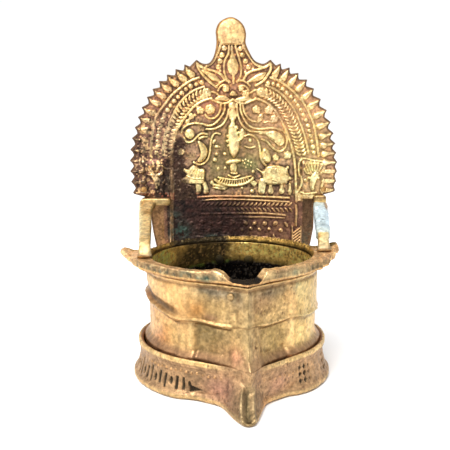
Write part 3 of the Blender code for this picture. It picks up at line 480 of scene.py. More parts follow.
    taper(0.8, [(7, 77.1, 0.41), (7.8, 76.3, 0.88), (8.5, 75.2, 0.41)])
    taper(0.9, [(9, 78.5, 0.47), (10, 79.3, 0.94), (10.7, 80.3, 0.41)])
    taper(0.8, [(9.4, 77.1, 0.41), (10.2, 76.3, 0.88), (11, 75.2, 0.41)])
    taper(0.9, [(11.4, 78.5, 0.47), (12.4, 79.3, 0.94), (13.1, 80.3, 0.41)])
    taper(0.8, [(11.8, 77.1, 0.41), (12.6, 76.3, 0.88), (13.4, 75.2, 0.41)])
    taper(0.9, [(13.8, 78.5, 0.47), (14.8, 79.3, 0.94), (15.5, 80.3, 0.41)])
    taper(0.8, [(14.2, 77, 0.41), (15, 76.2, 0.88), (15.8, 75.2, 0.41)])
    taper(0.9, [(16.2, 78.5, 0.47), (17.2, 79.3, 0.94), (17.9, 80.3, 0.41)])
    taper(0.8, [(16.6, 77, 0.41), (17.5, 76.2, 0.88), (18.2, 75.2, 0.41)])
    taper(0.9, [(18.6, 78.5, 0.47), (19.6, 79.3, 0.94), (20.3, 80.3, 0.41)])
    taper(0.8, [(19, 77, 0.41), (19.9, 76.2, 0.88), (20.6, 75.2, 0.41)])
    taper(0.9, [(21, 78.5, 0.47), (22, 79.3, 0.94), (22.7, 80.3, 0.41)])
    taper(0.8, [(21.4, 77, 0.41), (22.3, 76.2, 0.88), (23, 75.2, 0.41)])
    taper(0.9, [(23.5, 78.5, 0.47), (24.4, 79.2, 0.94), (25.1, 80.3, 0.41)])
    taper(0.8, [(23.8, 77, 0.41), (24.7, 76.2, 0.88), (25.4, 75.2, 0.41)])
    taper(0.9, [(25.9, 78.5, 0.47), (26.8, 79.2, 0.94), (27.5, 80.3, 0.41)])
    taper(0.8, [(26.2, 77, 0.41), (27.1, 76.2, 0.88), (27.8, 75.2, 0.41)])
    taper(0.9, [(28.3, 78.4, 0.47), (29.2, 79.2, 0.94), (29.9, 80.3, 0.41)])
    taper(0.8, [(28.6, 77, 0.41), (29.5, 76.2, 0.88), (30.2, 75.1, 0.41)])
    taper(0.9, [(30.7, 78.4, 0.47), (31.6, 79.2, 0.94), (32.3, 80.2, 0.41)])
    taper(0.8, [(31.1, 77, 0.41), (31.9, 76.2, 0.88), (32.7, 75.1, 0.41)])
    taper(0.9, [(33.1, 78.4, 0.47), (34, 79.2, 0.94), (34.8, 80.2, 0.41)])
    taper(0.8, [(33.5, 77, 0.41), (34.3, 76.2, 0.88), (35.1, 75.1, 0.41)])
    line(0.9, 0.8, [(-15, 73.8), (-1.8, 74.1), (16.3, 74.2), (24.1, 73.8), (31.1, 73)])
    line(0.6, 0.6, [(-1.8, 71.6), (15.7, 72.1), (30.8, 71.5)])
    dots(1, 1.1, [(-26.5, 68.8), (-20.5, 68.7), (-15, 69.5), (-10.2, 68.2), (-4.8, 68.5), (2.4, 69.2)])
    dots(1.17, 1.3, [(19.9, 68.5)])
    taper(1.3, [(8.3, 69.9, 0.59), (9.1, 68.8, 1.99), (9.5, 67.5, 0.7)])
    taper(1.2, [(13.4, 67.9, 0.7), (14.1, 68.6, 1.64), (14.8, 69.5, 0.59)])
    taper(1.3, [(24.9, 67.7, 0.82), (25.8, 68.6, 1.99), (26.7, 69.3, 0.59)])
    taper(1.1, [(31.2, 68.8, 0.7), (31.9, 67.8, 1.41), (32.4, 66.7, 0.59)])
    dots(0.88, 1, [(-24.1, 65), (-17.5, 65.4), (-11.1, 64.9), (7.3, 65), (12.1, 65.7), (16.9, 65.2), (22.4, 65.4)])
    dots(1.11, 1.2, [(28.8, 64.6)])
    line(0.8, 0.8, [(-17.5, 61.1), (-13.9, 60.7)])
    line(0.8, 0.8, [(-10.2, 61.3), (-6.6, 61.6)])
    line(0.8, 0.8, [(-3, 61.6), (0.7, 61.6)])
    line(0.8, 0.8, [(6.1, 61.2), (10.4, 61.2)])
    line(0.8, 0.8, [(12.7, 61.1), (15.5, 61.1)])
    line(0.8, 0.8, [(18.3, 60.5), (21.2, 60.8)])
    line(0.8, 0.8, [(24.1, 59.8), (28, 59.8)])
    taper(0.9, [(24.8, 62.1, 0.47), (25, 60.9, 1.05), (26.1, 60, 0.59)])
    taper(0.7, [(-8.4, 62.6, 0.35), (-8.3, 61.9, 1.05)])
    taper(0.7, [(8, 62.3, 0.35), (8.1, 61.5, 1.05)])
    line(0.7, 0.8, [(35.8, 62.9), (39.3, 65.7)])
    line(0.7, 0.8, [(35.9, 61.2), (39.3, 64)])
    line(0.7, 0.8, [(35.9, 59.6), (39.4, 62.4)])
    line(0.7, 0.8, [(35.9, 57.9), (39.4, 60.7)])
    line(0.7, 0.8, [(35.9, 56.2), (39.4, 59)])
    line(1.2, 1, [(37.2, 78.5), (37.4, 74.6), (37.2, 67.3)])
    line(0.7, 0.8, [(35.2, 66.7), (35.3, 56.8)])
    line(0.7, 0.8, [(40, 66.7), (40, 56.8)])
    line(1.2, 1, [(-32.2, 79), (-32.1, 73.1), (-32.4, 67.6), (-32.1, 62.7), (-32.5, 57.4)])
    line(0.7, 0.7, [(-30.3, 91.8), (-30.8, 81), (-31, 67.6), (-30.9, 57.2)])
    line(1.15, 0.9, [(-16.2, 148.4), (-21.5, 146.3), (-26.5, 142.9), (-31, 139.1), (-34.7, 134.4), (-37.6, 130.6), (-40, 126.4), (-41.4, 120.7), (-42.4, 113.8), (-43, 106.8)])
    line(1.35, 1.0, [(22.3, 148.4), (26.8, 146.7), (31.9, 143.3), (36.2, 139.5), (40.2, 135.2), (43.3, 130.1), (45.8, 124.5), (47.2, 118.8), (48.4, 112.7), (49.2, 106.2)])
    line(1, 0.9, [(-13.6, 143.6), (-18.8, 141.6), (-23.3, 138.5), (-27.3, 134.2), (-30.1, 129.3), (-32.6, 124.1), (-34.5, 119), (-35.7, 113.8), (-36.4, 106.8)])
    line(1.25, 1.0, [(19.8, 144.2), (25, 142), (29.5, 138.5), (33.7, 133.7), (37, 128.2), (39.6, 122.1), (41.9, 115.2), (43.6, 107.5)])
    line(1.15, 1, [(-9.5, 137.4), (-14.7, 135.7), (-19.2, 132.7), (-23, 128.4), (-26.2, 123.9), (-28.7, 119.6), (-30.2, 114.6), (-30.9, 108.6), (-31.3, 101.6), (-31.6, 92.8), (-32, 81.3), (-32.1, 67.9)])
    line(1.35, 1.1, [(14.2, 137.4), (19.8, 135.2), (24.4, 131.6), (27.9, 126.5), (30.9, 120.6), (33.3, 114.5), (35, 108.4), (36.1, 102.3), (36.8, 93.5), (37.3, 81)])
    line(0.95, 1.2, [(40.1, 104.7), (38.6, 102.5), (38.3, 99), (38.7, 95.9), (39.9, 93.2), (39.7, 90), (38.4, 86.8), (37.4, 83.9), (37.3, 81.4)])
    line(0.6, 0.9, [(39.9, 94.8), (40.1, 92.4), (39.9, 89.5)])
    line(0.95, 1.2, [(52, 93.2), (51.6, 91.1), (50.9, 88.4), (51.3, 85.7), (51.9, 84.7)])
    line(0.8, 1, [(40.4, 104.7), (43, 104.4), (47, 103.6), (51.8, 103.1)])
    line(0.75, 1.3, [(41.8, 101.7), (43.2, 98)])
    line(0.75, 1.3, [(43.1, 102.2), (44.8, 97.4)])
    line(0.75, 1.3, [(44.9, 103), (45.9, 97.7)])
    line(0.75, 1.3, [(47, 103), (47, 97.7)])
    line(0.75, 1.3, [(49.1, 102.4), (47.9, 97.4)])
    line(0.75, 1.3, [(51, 101.1), (49, 97.2)])
    line(0.75, 1.3, [(52.4, 99), (50.3, 96.6)])
    line(0.75, 1.3, [(41.3, 99), (42.4, 96.7)])
    pad(0.45, 0.8, [(42, 102.5), (45.4, 103.5), (49.7, 102.8), (52.9, 100.6), (52.9, 97.9), (50.9, 95.8), (47.7, 95.2), (44, 95.9), (41.8, 98)])
    taper(1.5, [(47.7, 95.8, 3.1), (46.7, 94, 3.36), (46.2, 92.1, 2.84), (45.9, 90, 2.33), (46.1, 88.1, 1.55)])
    dots(1.03, 1.2, [(42.2, 92.7)])
    dots(0.88, 1.4, [(44, 94), (49.1, 94)])
    line(0.8, 1, [(42.4, 96.7), (44.5, 96.2)])
    line(0.9, 1, [(39.7, 86), (42.1, 85.2), (45.2, 85.5), (48.2, 85.9)])
    dots(0.57, 0.8, [(38.9, 83.4)])
    dots(0.57, 0.8, [(40.2, 82.3)])
    dots(0.57, 0.8, [(41.6, 83.6)])
    dots(0.57, 0.8, [(42.9, 82.4)])
    dots(0.57, 0.8, [(44.2, 83.3)])
    dots(0.57, 0.8, [(45.3, 82.3)])
    dots(0.57, 0.8, [(38.9, 85)])
    dots(0.57, 0.8, [(41, 84.4)])
    pad(0.55, 0.5, [(37.8, 85.0), (42.0, 84.6), (46.8, 84.9), (47.0, 81.7), (42.0, 81.5), (37.9, 81.6)])
    line(0.8, 0.9, [(37.5, 81.4), (41.6, 81.3), (45.8, 81.6)])
    taper(1.3, [(-45.2, 101.6, 0.36), (-44, 99, 1.55), (-41.7, 96.1, 1.29)])
    taper(1.3, [(-43.4, 101.9, 0.36), (-42.4, 99.3, 0.93), (-41.1, 96.6, 1.03)])
    taper(1.3, [(-41.8, 103.2, 0.36), (-41.3, 101.4, 1.14), (-40.8, 99.3, 0.52)])
    taper(1.4, [(-38.9, 103.5, 1.03), (-38.2, 101.9, 1.55), (-39.3, 99.3, 1.81), (-39.9, 97.7, 1.03)])
    taper(1.2, [(-37.4, 102.4, 0.52), (-36.6, 100.8, 0.62), (-34.5, 99.2, 0.88), (-33.5, 99.1, 0.36)])
    taper(1.2, [(-37.7, 98.2, 0.41), (-36.1, 98.2, 0.78), (-38.3, 96.1, 1.29)])
    taper(1.6, [(-44.8, 96.2, 0.78), (-42.5, 95.7, 1.55), (-40.1, 95.4, 2.33), (-36.9, 96.6, 1.03)])
    taper(1.6, [(-41.7, 94.5, 1.55), (-39.9, 93.5, 3.1), (-39.6, 91.9, 2.84), (-39.4, 90.3, 2.07), (-39.7, 88.4, 1.03)])
    dots(0.78, 1, [(-36, 91.6)])
    line(0.9, 1.1, [(-33.8, 94.5), (-33.5, 92.4), (-33.6, 89.7), (-32.6, 87.3), (-32, 84.7), (-31.5, 82)])
    line(0.7, 0.9, [(-45.7, 90.3), (-44.9, 88.7), (-45.5, 86.6)])
    dots(0.62, 0.8, [(-49.4, 86.6)])
    dots(0.62, 0.8, [(-47.9, 85.8)])
    dots(0.62, 0.8, [(-46, 85.5)])
    dots(0.62, 0.8, [(-43.7, 85.3)])
    dots(0.62, 0.8, [(-41.6, 85.5)])
    dots(0.62, 0.8, [(-39.2, 86.6)])
    dots(0.62, 0.8, [(-37.9, 85.8)])
    dots(0.62, 0.8, [(-34.7, 85.5)])
    dots(0.62, 0.8, [(-33.7, 83.9)])
    dots(0.62, 0.8, [(-36.8, 83.9)])
    dots(0.57, 0.8, [(-41.7, 110.4)])
    dots(0.57, 0.8, [(-40.2, 108.4)])
    dots(0.57, 0.8, [(-38, 111.8)])
    dots(0.57, 0.8, [(-42.3, 105.3)])
    dots(0.57, 0.8, [(-43.3, 106.6)])
    dots(0.57, 0.8, [(-38.6, 105.8)])
    dots(0.57, 0.8, [(-44.3, 113.4)])
    dots(0.57, 0.8, [(-39.6, 113.4)])


# outline of the plate, in mm
FLAMES_LEFT = [(-24.0, 155.2), (-28.8, 152.7), (-33.5, 149.8), (-37.8, 146.4), (-41.3, 142.2),
               (-44.4, 137.9), (-47.3, 132.4), (-49.4, 127.2), (-51.3, 121.6), (-52.9, 115.8),
               (-53.9, 109.6), (-54.2, 103.6), (-54.1, 97.8), (-53.7, 92.0), (-52.8, 86.0)]
FLAMES_RIGHT = [(27.8, 155.7), (32.6, 153.6), (37.4, 150.7), (42.2, 147.2), (46.0, 142.4),
                (49.8, 136.8), (53.2, 130.8), (55.5, 124.4), (57.2, 118.4), (58.3, 112.8),
                (59.0, 107.6), (59.4, 102.6), (59.4, 97.6), (59.1, 92.2), (58.6, 87.0)]
FINIAL = [(-17.6, 157.6), (-14.9, 155.9), (-12.3, 155.5), (-10.2, 156.4), (-8.5, 158.8),
          (-7.3, 162.4), (-6.7, 166.4), (-6.8, 169.8), (-7.0, 173.0), (-5.7, 176.6), (-2.7, 179.0),
          (1.2, 180.0), (4.8, 178.5), (7.6, 175.6), (8.9, 171.4), (8.6, 167.4), (9.3, 164.8),
          (11.0, 161.3), (13.2, 157.8), (15.6, 156.2), (18.9, 155.6), (22.3, 157.7)]


def flame_outline(tips, side):
    """Through the tips from the top down, hollowed between them."""
    out = []
    n = len(tips)
    for i, (a, b) in enumerate(zip(tips, tips[1:])):
        a, b = np.array(a), np.array(b)
        d = b - a
        length = np.linalg.norm(d)
        inward = np.array([-side * abs(d[1]), -abs(d[0])]) / length
        k = i / (n - 2)
        frac = 0.36 + 0.14 * k
        depth = 2.6 - 0.6 * k - (0.95 * smooth(0.62, 0.85, k) if side > 0 else 0.0)
        valley = a + d * frac + inward * depth
        out.append(a)
        out.append(a + d * frac * 0.45 + inward * depth * 0.62)
        out.append(valley)
        out.append(valley + d * 0.07 - inward * 0.06 * depth)
        out.append(b * 0.45 + valley * 0.55 + inward * 0.06 * depth)
    out.append(np.array(tips[-1]))
    return out


def plate_outline():
    left = flame_outline(FLAMES_LEFT, -1)
    right = flame_outline(FLAMES_RIGHT, 1)
    fin = spline(FINIAL, per=3)
    pts = list(reversed(left)) + [(-21.2, 154.0)] + list(fin) + [(25.2, 154.6)] + right
    pts += [(57.6, 86.2), (55.6, 85.6), (52.5, 84.8), (49.6, 83.8), (47.1, 83.2)]
    pts += [(47.1, 76.0), (47.1, 66.0), (45.5, 57.0), (43.7, 50.0), (40.7, 46.4), (36.0, 45.6),
            (-31.5, 45.6), (-36.1, 46.6), (-39.1, 50.0), (-40.7, 57.0), (-42.0, 63.5),
            (-42.8, 69.0), (-43.5, 77.0)]
    pts += [(-43.5, 83.3), (-46.6, 83.9), (-50.2, 84.8), (-52.2, 85.4)]
    return np.array([tuple(p) for p in pts])


OUTLINE = plate_outline()
BEADS_LEFT = [(-15, 145.9), (-21, 143.6), (-25.7, 140.2), (-29.9, 135.8), (-33, 131.5), (-35.8, 127.1), (-37.6, 121.7), (-38.9, 115.5), (-39.7, 107.7)]
BEADS_RIGHT = [(20.8, 145.4), (25.8, 144.4), (30.7, 140.8), (35.1, 136.6), (38.6, 131.8), (41.5, 126.3), (43.5, 120.6), (45.2, 114.5), (46.5, 108)]
LEAVES_LEFT = [(-12.6, 140.2), (-17.1, 138.3), (-21.4, 135.4), (-25.4, 131.3), (-28.2, 126.5), (-30.7, 122.1), (-32.5, 116.7), (-33.4, 111.2), (-33.9, 105.1)]
LEAVES_RIGHT = [(18.9, 140.2), (23.1, 138.3), (27.3, 135), (31.2, 129.9), (34.2, 124.2), (36.6, 118.2), (38.6, 111.9), (39.9, 105.8)]


def flame_relief(tips, side):
    """A fat teardrop on each tooth: a bulb by the rib, drawn out along one edge to the tip."""
    n = len(tips)
    for i, tip in enumerate(tips):
        tip = np.array(tip)
        c = np.array([PLATE_CX, ARCH_Z]) if tip[1] > ARCH_Z else np.array([PLATE_CX, tip[1]])
        d = (c - tip) / np.linalg.norm(c - tip)
        along = np.array([-d[1], d[0]]) * side          # towards the next tooth down
        k = i / (n - 1)
        up = 1 - k
        if side > 0 and k > 0.80:
            taper(1.15, [(*(tip + d * 7.4), 1.6), (*(tip + d * 4.4), 2.1), (*(tip + d * 0.9), 1.3)])
            continue
        lean = (0.95 if side < 0 else -0.35) * up + 0.1
        bead = tip + d * 6.7 + along * lean * (1 if side < 0 else -1) * -0.9
        mid = tip + d * 3.7 + along * lean * 0.1
        r = 1.72 if k < 0.8 else 1.45
        dots(r, 1.35, [tuple(bead)])
        fat = 1.0 if k < 0.55 else 0.72
        taper(1.5, [(*(bead), 3.0 * fat), (*(bead * 0.45 + mid * 0.55), 2.7 * fat), (*(mid), 1.75 * fat),
                    (*(tip + d * 1.7), 0.95), (*(tip + d * 0.45), 0.6)])


def band_relief():
    for row, seed in ((BEADS_LEFT, 1), (BEADS_RIGHT, 2)):
        p = resample(spline(row, per=6), 3.05)
        for k, q in enumerate(p):
            jig = 0.12 * math.sin(k * 5.1 + seed)
            dots(1.14 + 0.1 * math.sin(k * 3.3 + seed), 1.25, [(q[0] + jig, q[1] - jig)])
    for row, flip in ((LEAVES_LEFT, 0), (LEAVES_RIGHT, 1)):
        p = resample(spline(row, per=6), 2.05)
        for k, (a, b) in enumerate(zip(p, p[1:])):
            d = (b - a) / np.linalg.norm(b - a)
            nrm = np.array([-d[1], d[0]])
            for s in (-1, 1):
                root = a + d * (0.9 + 0.5 * (s > 0)) + nrm * 0.12 * math.sin(k * 2.3)
                tip = root - d * 1.25 + nrm * s * 2.55
                mid = root - d * 0.25 + nrm * s * 1.55
                start = root + nrm * s * 0.5
                taper(1.1, [(*start, 0.7), (*mid, 1.28), (*tip, 0.55)])


def build_relief():
    # broad levels
    ear = smooth(81.8, 82.8, GZ) * smooth(150, 99, GZ)
    side = np.where(GX < PLATE_CX, smooth(-40.4, -42.4, GX), smooth(43.4, 45.2, GX))
    H[:] = 0.0
    margin = np.where(GX < PLATE_CX, smooth(-34.9, -36.1, GX), smooth(39.6, 40.8, GX)) * smooth(82.8, 81.8, GZ)
    guard = np.where(GX < PLATE_CX, smooth(-35.4, -36.6, GX), smooth(39.6, 41.0, GX)) \
        * smooth(81.8, 82.6, GZ) * smooth(104.5, 101.5, GZ)
    relief_strokes()
    flame_relief(FLAMES_LEFT, -1)
    flame_relief(FLAMES_RIGHT, 1)
    band_relief()
    lift = 1.25 * guard - 1.1 * margin
    # the finial knob stands proud, with a sharp lower edge
    kx, kz = (GX - 1.1) / 8.2, (GZ - 172.2) / 8.4
    knob = 2.3 * np.clip(1 - kx ** 2 - kz ** 2, 0, 1) ** 0.5
    knob *= smooth(165.2, 166.6, GZ + 0.02 * (GX - 1) ** 2)
    return lift, knob


LIFT, KNOB = build_relief()
RELIEF = H.copy()
P3 = np.stack([GX, np.zeros_like(GX), GZ], -1)
# wear: high relief is rubbed down, low relief keeps its shape; soot side is eaten
WEAR = 0.5 + 0.5 * fbm(P3, 16.0, 2, 5)
SOOT = np.clip(gauss(P3, (-24, 0, 72), (15, 9, 16)) * 1.5 + gauss(P3, (-29.5, 0, 98), (7.0, 9, 13)) * 0.95
               + gauss(P3, (-8, 0, 66), (14, 9, 9)) * 0.8 + gauss(P3, (-33, 0, 84), (8, 9, 9)) * 0.9
               + gauss(P3, (-27, 0, 113), (6, 9, 6)) * 0.55 + gauss(P3, (-1, 0, 69), (14, 9, 9)) * 0.85, 0, 1)
SOOT = SOOT * (1 - smooth(-33.6, -35.2, GX) * smooth(83.5, 82.0, GZ))
SOOT = np.clip(SOOT * 1.15 + 0.35 * fbm(P3, 5.0, 3, 9) * (SOOT > 0.04), 0, 1)
GRIME = np.clip(1.45 * gauss(P3, (-42, 0, 107), (11, 9, 17)) + 0.9 * gauss(P3, (-35, 0, 120), (6, 9, 9))
                + 0.5 * gauss(P3, (-46, 0, 92), (9, 9, 10)), 0, 1)
erode = np.clip(0.62 * smooth(0.35, 0.95, SOOT) + 0.72 * smooth(0.2, 0.8, GRIME + 0.35 * fbm(P3, 3.0, 2, 12)) * (GZ > 101) * (GX > -48), 0, 0.8)
H = RELIEF * (1 - erode) * (0.9 + 0.1 * WEAR) + LIFT
H = np.maximum(H, KNOB)
rough = 0.13 * fbm(P3, 3.2, 3, 3) + 0.09 * fbm(P3, 1.0, 2, 4)
pit = pits(P3, 0.8, 21, 0.45) * 0.26 + pits(P3, 1.6, 22, 0.55) * 0.34
rough = rough + (0.20 * vnoise(P3, 0.75, 14) + 0.12 * fbm(P3, 1.6, 2, 15)) * np.clip(SOOT + GRIME, 0, 1)
H = H + rough * (0.6 + 0.8 * SOOT) - pit * (0.35 + 0.9 * SOOT) * (KNOB < 0.2)
H = H - pits(P3, 0.9, 25, 0.75) * 0.25 * (KNOB > 0.2)


def blur(a, n):
    for axis in (0, 1):
        for _ in range(3):
            c = np.cumsum(np.pad(a, [(n + 1, n) if k == axis else (0, 0) for k in range(2)], mode="edge"), axis=axis)
            a = (np.take(c, np.arange(2 * n + 1, c.shape[axis]), axis)
                 - np.take(c, np.arange(0, c.shape[axis] - 2 * n - 1), axis)) / (2 * n + 1)
    return a


CAVITY = np.clip((blur(H, max(1, int(0.7 / STEP))) - H) * 1.3, -1, 1)      # >0 in hollows
BROAD = blur(RELIEF, max(1, int(0.35 / STEP)))


def sample(a, x, z):
    u = np.clip((x - X0) / STEP, 0, len(gx) - 1.001)
    v = np.clip((z - Z0) / STEP, 0, len(gz) - 1.001)
    i, j = u.astype(int), v.astype(int)
    fu, fv = u - i, v - j
    return ((a[i, j] * (1 - fu) + a[i + 1, j] * fu) * (1 - fv)
            + (a[i, j + 1] * (1 - fu) + a[i + 1, j + 1] * fu) * fv)


# --------------------------------------------------------- plate: solid surface
def surface_nets(f, org, h):
    """Closed surface of f = 0 (inside below zero) on a grid of spacing h."""
    inside = f < 0
    c = [inside[x:f.shape[0] - 1 + x, y:f.shape[1] - 1 + y, z:f.shape[2] - 1 + z]
         for x in (0, 1) for y in (0, 1) for z in (0, 1)]
    count = sum(a.astype(np.int8) for a in c)
    active = (count > 0) & (count < 8)
    ijk = np.argwhere(active)
    index = np.full(active.shape, -1, np.int64)
    index[active] = np.arange(len(ijk))
    pos = np.zeros((len(ijk), 3))
    num = np.zeros(len(ijk))
    corners = [(x, y, z) for x in (0, 1) for y in (0, 1) for z in (0, 1)]
    for a in range(8):
        for b in range(a + 1, 8):
            ca, cb = np.array(corners[a]), np.array(corners[b])
            if np.abs(ca - cb).sum() != 1:
                continue
            ia, ib = ijk + ca, ijk + cb
            fa, fb = f[tuple(ia.T)], f[tuple(ib.T)]
            m = (fa < 0) != (fb < 0)
            t = (fa[m] / (fa[m] - fb[m]))[:, None]
            pos[m] += ca + t * (cb - ca)
            num[m] += 1
    pos = (pos / num[:, None] + ijk) * h + org
    quads = []
    for axis in range(3):
        b, c2 = [k for k in range(3) if k != axis]
        s0 = [slice(None)] * 3
        s1 = [slice(None)] * 3
        s0[axis] = slice(0, -1)
        s1[axis] = slice(1, None)
        cross = inside[tuple(s0)] != inside[tuple(s1)]
        e = np.argwhere(cross)
        e = e[(e[:, b] > 0) & (e[:, c2] > 0) & (e[:, b] < index.shape[b]) & (e[:, c2] < index.shape[c2])]
        ob, oc = np.zeros(3, int), np.zeros(3, int)
        ob[b], oc[c2] = 1, 1
        q = np.stack([index[tuple((e - ob - oc).T)], index[tuple((e - oc).T)],
                      index[tuple(e.T)], index[tuple((e - ob).T)]], -1)
        flip = inside[tuple(e.T)]
        if axis == 1:
            flip = ~flip
        q[~flip] = q[~flip][:, ::-1]
        quads.append(q)
    quads = np.vstack(quads)
    return pos, quads[(quads >= 0).all(1)]


def outline_depth_map():
    """Signed depth inside the plate's outline on the relief grid."""
    out = np.full(GX.shape, -3.0)
    pts = OUTLINE
    band = 3.0
    inside = np.zeros(GX.shape, bool)
    n = len(pts)
    best = np.full(GX.shape, 3.0)
    for k in range(n):
        (ax, az), (bx, bz) = pts[k], pts[(k + 1) % n]
        win = window([(ax, az), (bx, bz)], band)
        x, z = GX[win], GZ[win]
        dx, dz = bx - ax, bz - az
        t = np.clip(((x - ax) * dx + (z - az) * dz) / (dx * dx + dz * dz + 1e-12), 0, 1)
        best[win] = np.minimum(best[win], np.hypot(x - ax - t * dx, z - az - t * dz))
        if az != bz:
            lo, hi = min(az, bz), max(az, bz)
            j0 = max(0, int((lo - Z0) / STEP) - 1)
            j1 = min(len(gz), int((hi - Z0) / STEP) + 2)
            z = GZ[:, j0:j1]
            hit = ((az > z) != (bz > z)) & (GX[:, j0:j1] < (bx - ax) * (z - az) / (bz - az) + ax)
            inside[:, j0:j1] ^= hit
    return np.where(inside, best, -best)


def build_plate():
    depth = outline_depth_map()
    h = np.array([0.32, 0.45, 0.32])
    org = np.array([-57.5, PLATE_Y - 4.2, 44.0])
    far = np.array([63.0, PLATE_Y + PLATE_T + 2.6, 181.5])
    n = np.ceil((far - org) / h).astype(int)
    x = org[0] + np.arange(n[0]) * h[0]
    y = org[1] + np.arange(n[1]) * h[1]
    z = org[2] + np.arange(n[2]) * h[2]
    XX, ZZ = np.meshgrid(x, z, indexing="ij")
    Hs = sample(H, XX, ZZ)
    D = sample(depth, XX, ZZ)
    front = PLATE_Y - Hs
    back = PLATE_Y + PLATE_T + 0.16 * fbm(np.stack([XX, XX * 0, ZZ], -1), 7.0, 4, 40)
    kx, kz = (XX - 1.1) / 8.0, (ZZ - 172.2) / 8.2
    back = back + 1.7 * np.clip(1 - kx ** 2 - kz ** 2, 0, 1) ** 0.5
    back = back - 0.5 * gauss(np.stack([XX, XX * 0, ZZ], -1), (2.6, 0, 118), (30, 9, 34))
    back = back + 0.35 * smooth(2.4, 0.8, D)                      # rolled casting edge
    Y = y[None, :, None]
    f = np.maximum(front[:, None, :] - Y, Y - back[:, None, :])
    # rounded edges: pull the outline in near the two faces
    mid = (front + back)[:, None, :] / 2
    half = (back - front)[:, None, :] / 2
    edge = np.abs(Y - mid) / np.maximum(half, 0.5)
    rounding = 0.34 * np.clip(edge, 0, 1.2) ** 3
    f = np.maximum(f, -(D[:, None, :] - rounding + 0.22))
    for cx, cz, r in ((PLATE_CX - 8, 49.6, 1.9), (PLATE_CX + 8, 49.6, 1.9),
                      (PLATE_CX - 49.4, EAR_BOTTOM + 4.4, 1.5), (PLATE_CX + 49.4, EAR_BOTTOM + 4.4, 1.5)):
        hole = r - np.hypot(XX - cx, ZZ - cz)
        f = np.maximum(f, hole[:, None, :])
    verts, quads = surface_nets(f, org, h)
    # front points are pulled nine tenths of the way onto the relief
    d_in = sample(depth, verts[:, 0], verts[:, 2])
    fy = PLATE_Y - sample(H, verts[:, 0], verts[:, 2])
    on_front = (np.abs(verts[:, 1] - fy) < 0.5) & (d_in > 0.9)
    verts[on_front, 1] = verts[on_front, 1] * 0.1 + fy[on_front] * 0.9
    return verts, quads, on_front, d_in


# ------------------------------------------------------------------- colouring
GOLD_PALE = srgb(244, 212, 152)
GOLD = srgb(224, 178, 106)
GOLD_DEEP = srgb(192, 140, 76)
ORANGE = srgb(214, 140, 70)
PINK = srgb(196, 132, 108)
PLUM = srgb(112, 72, 68)
UMBER = srgb(74, 48, 40)
BLACK = srgb(24, 20, 20)
OLIVE = srgb(134, 114, 62)
OLIVE_DARK = srgb(84, 72, 42)
TEAL = srgb(66, 112, 100)
GREEN = srgb(116, 122, 70)
GREY = srgb(120, 112, 98)


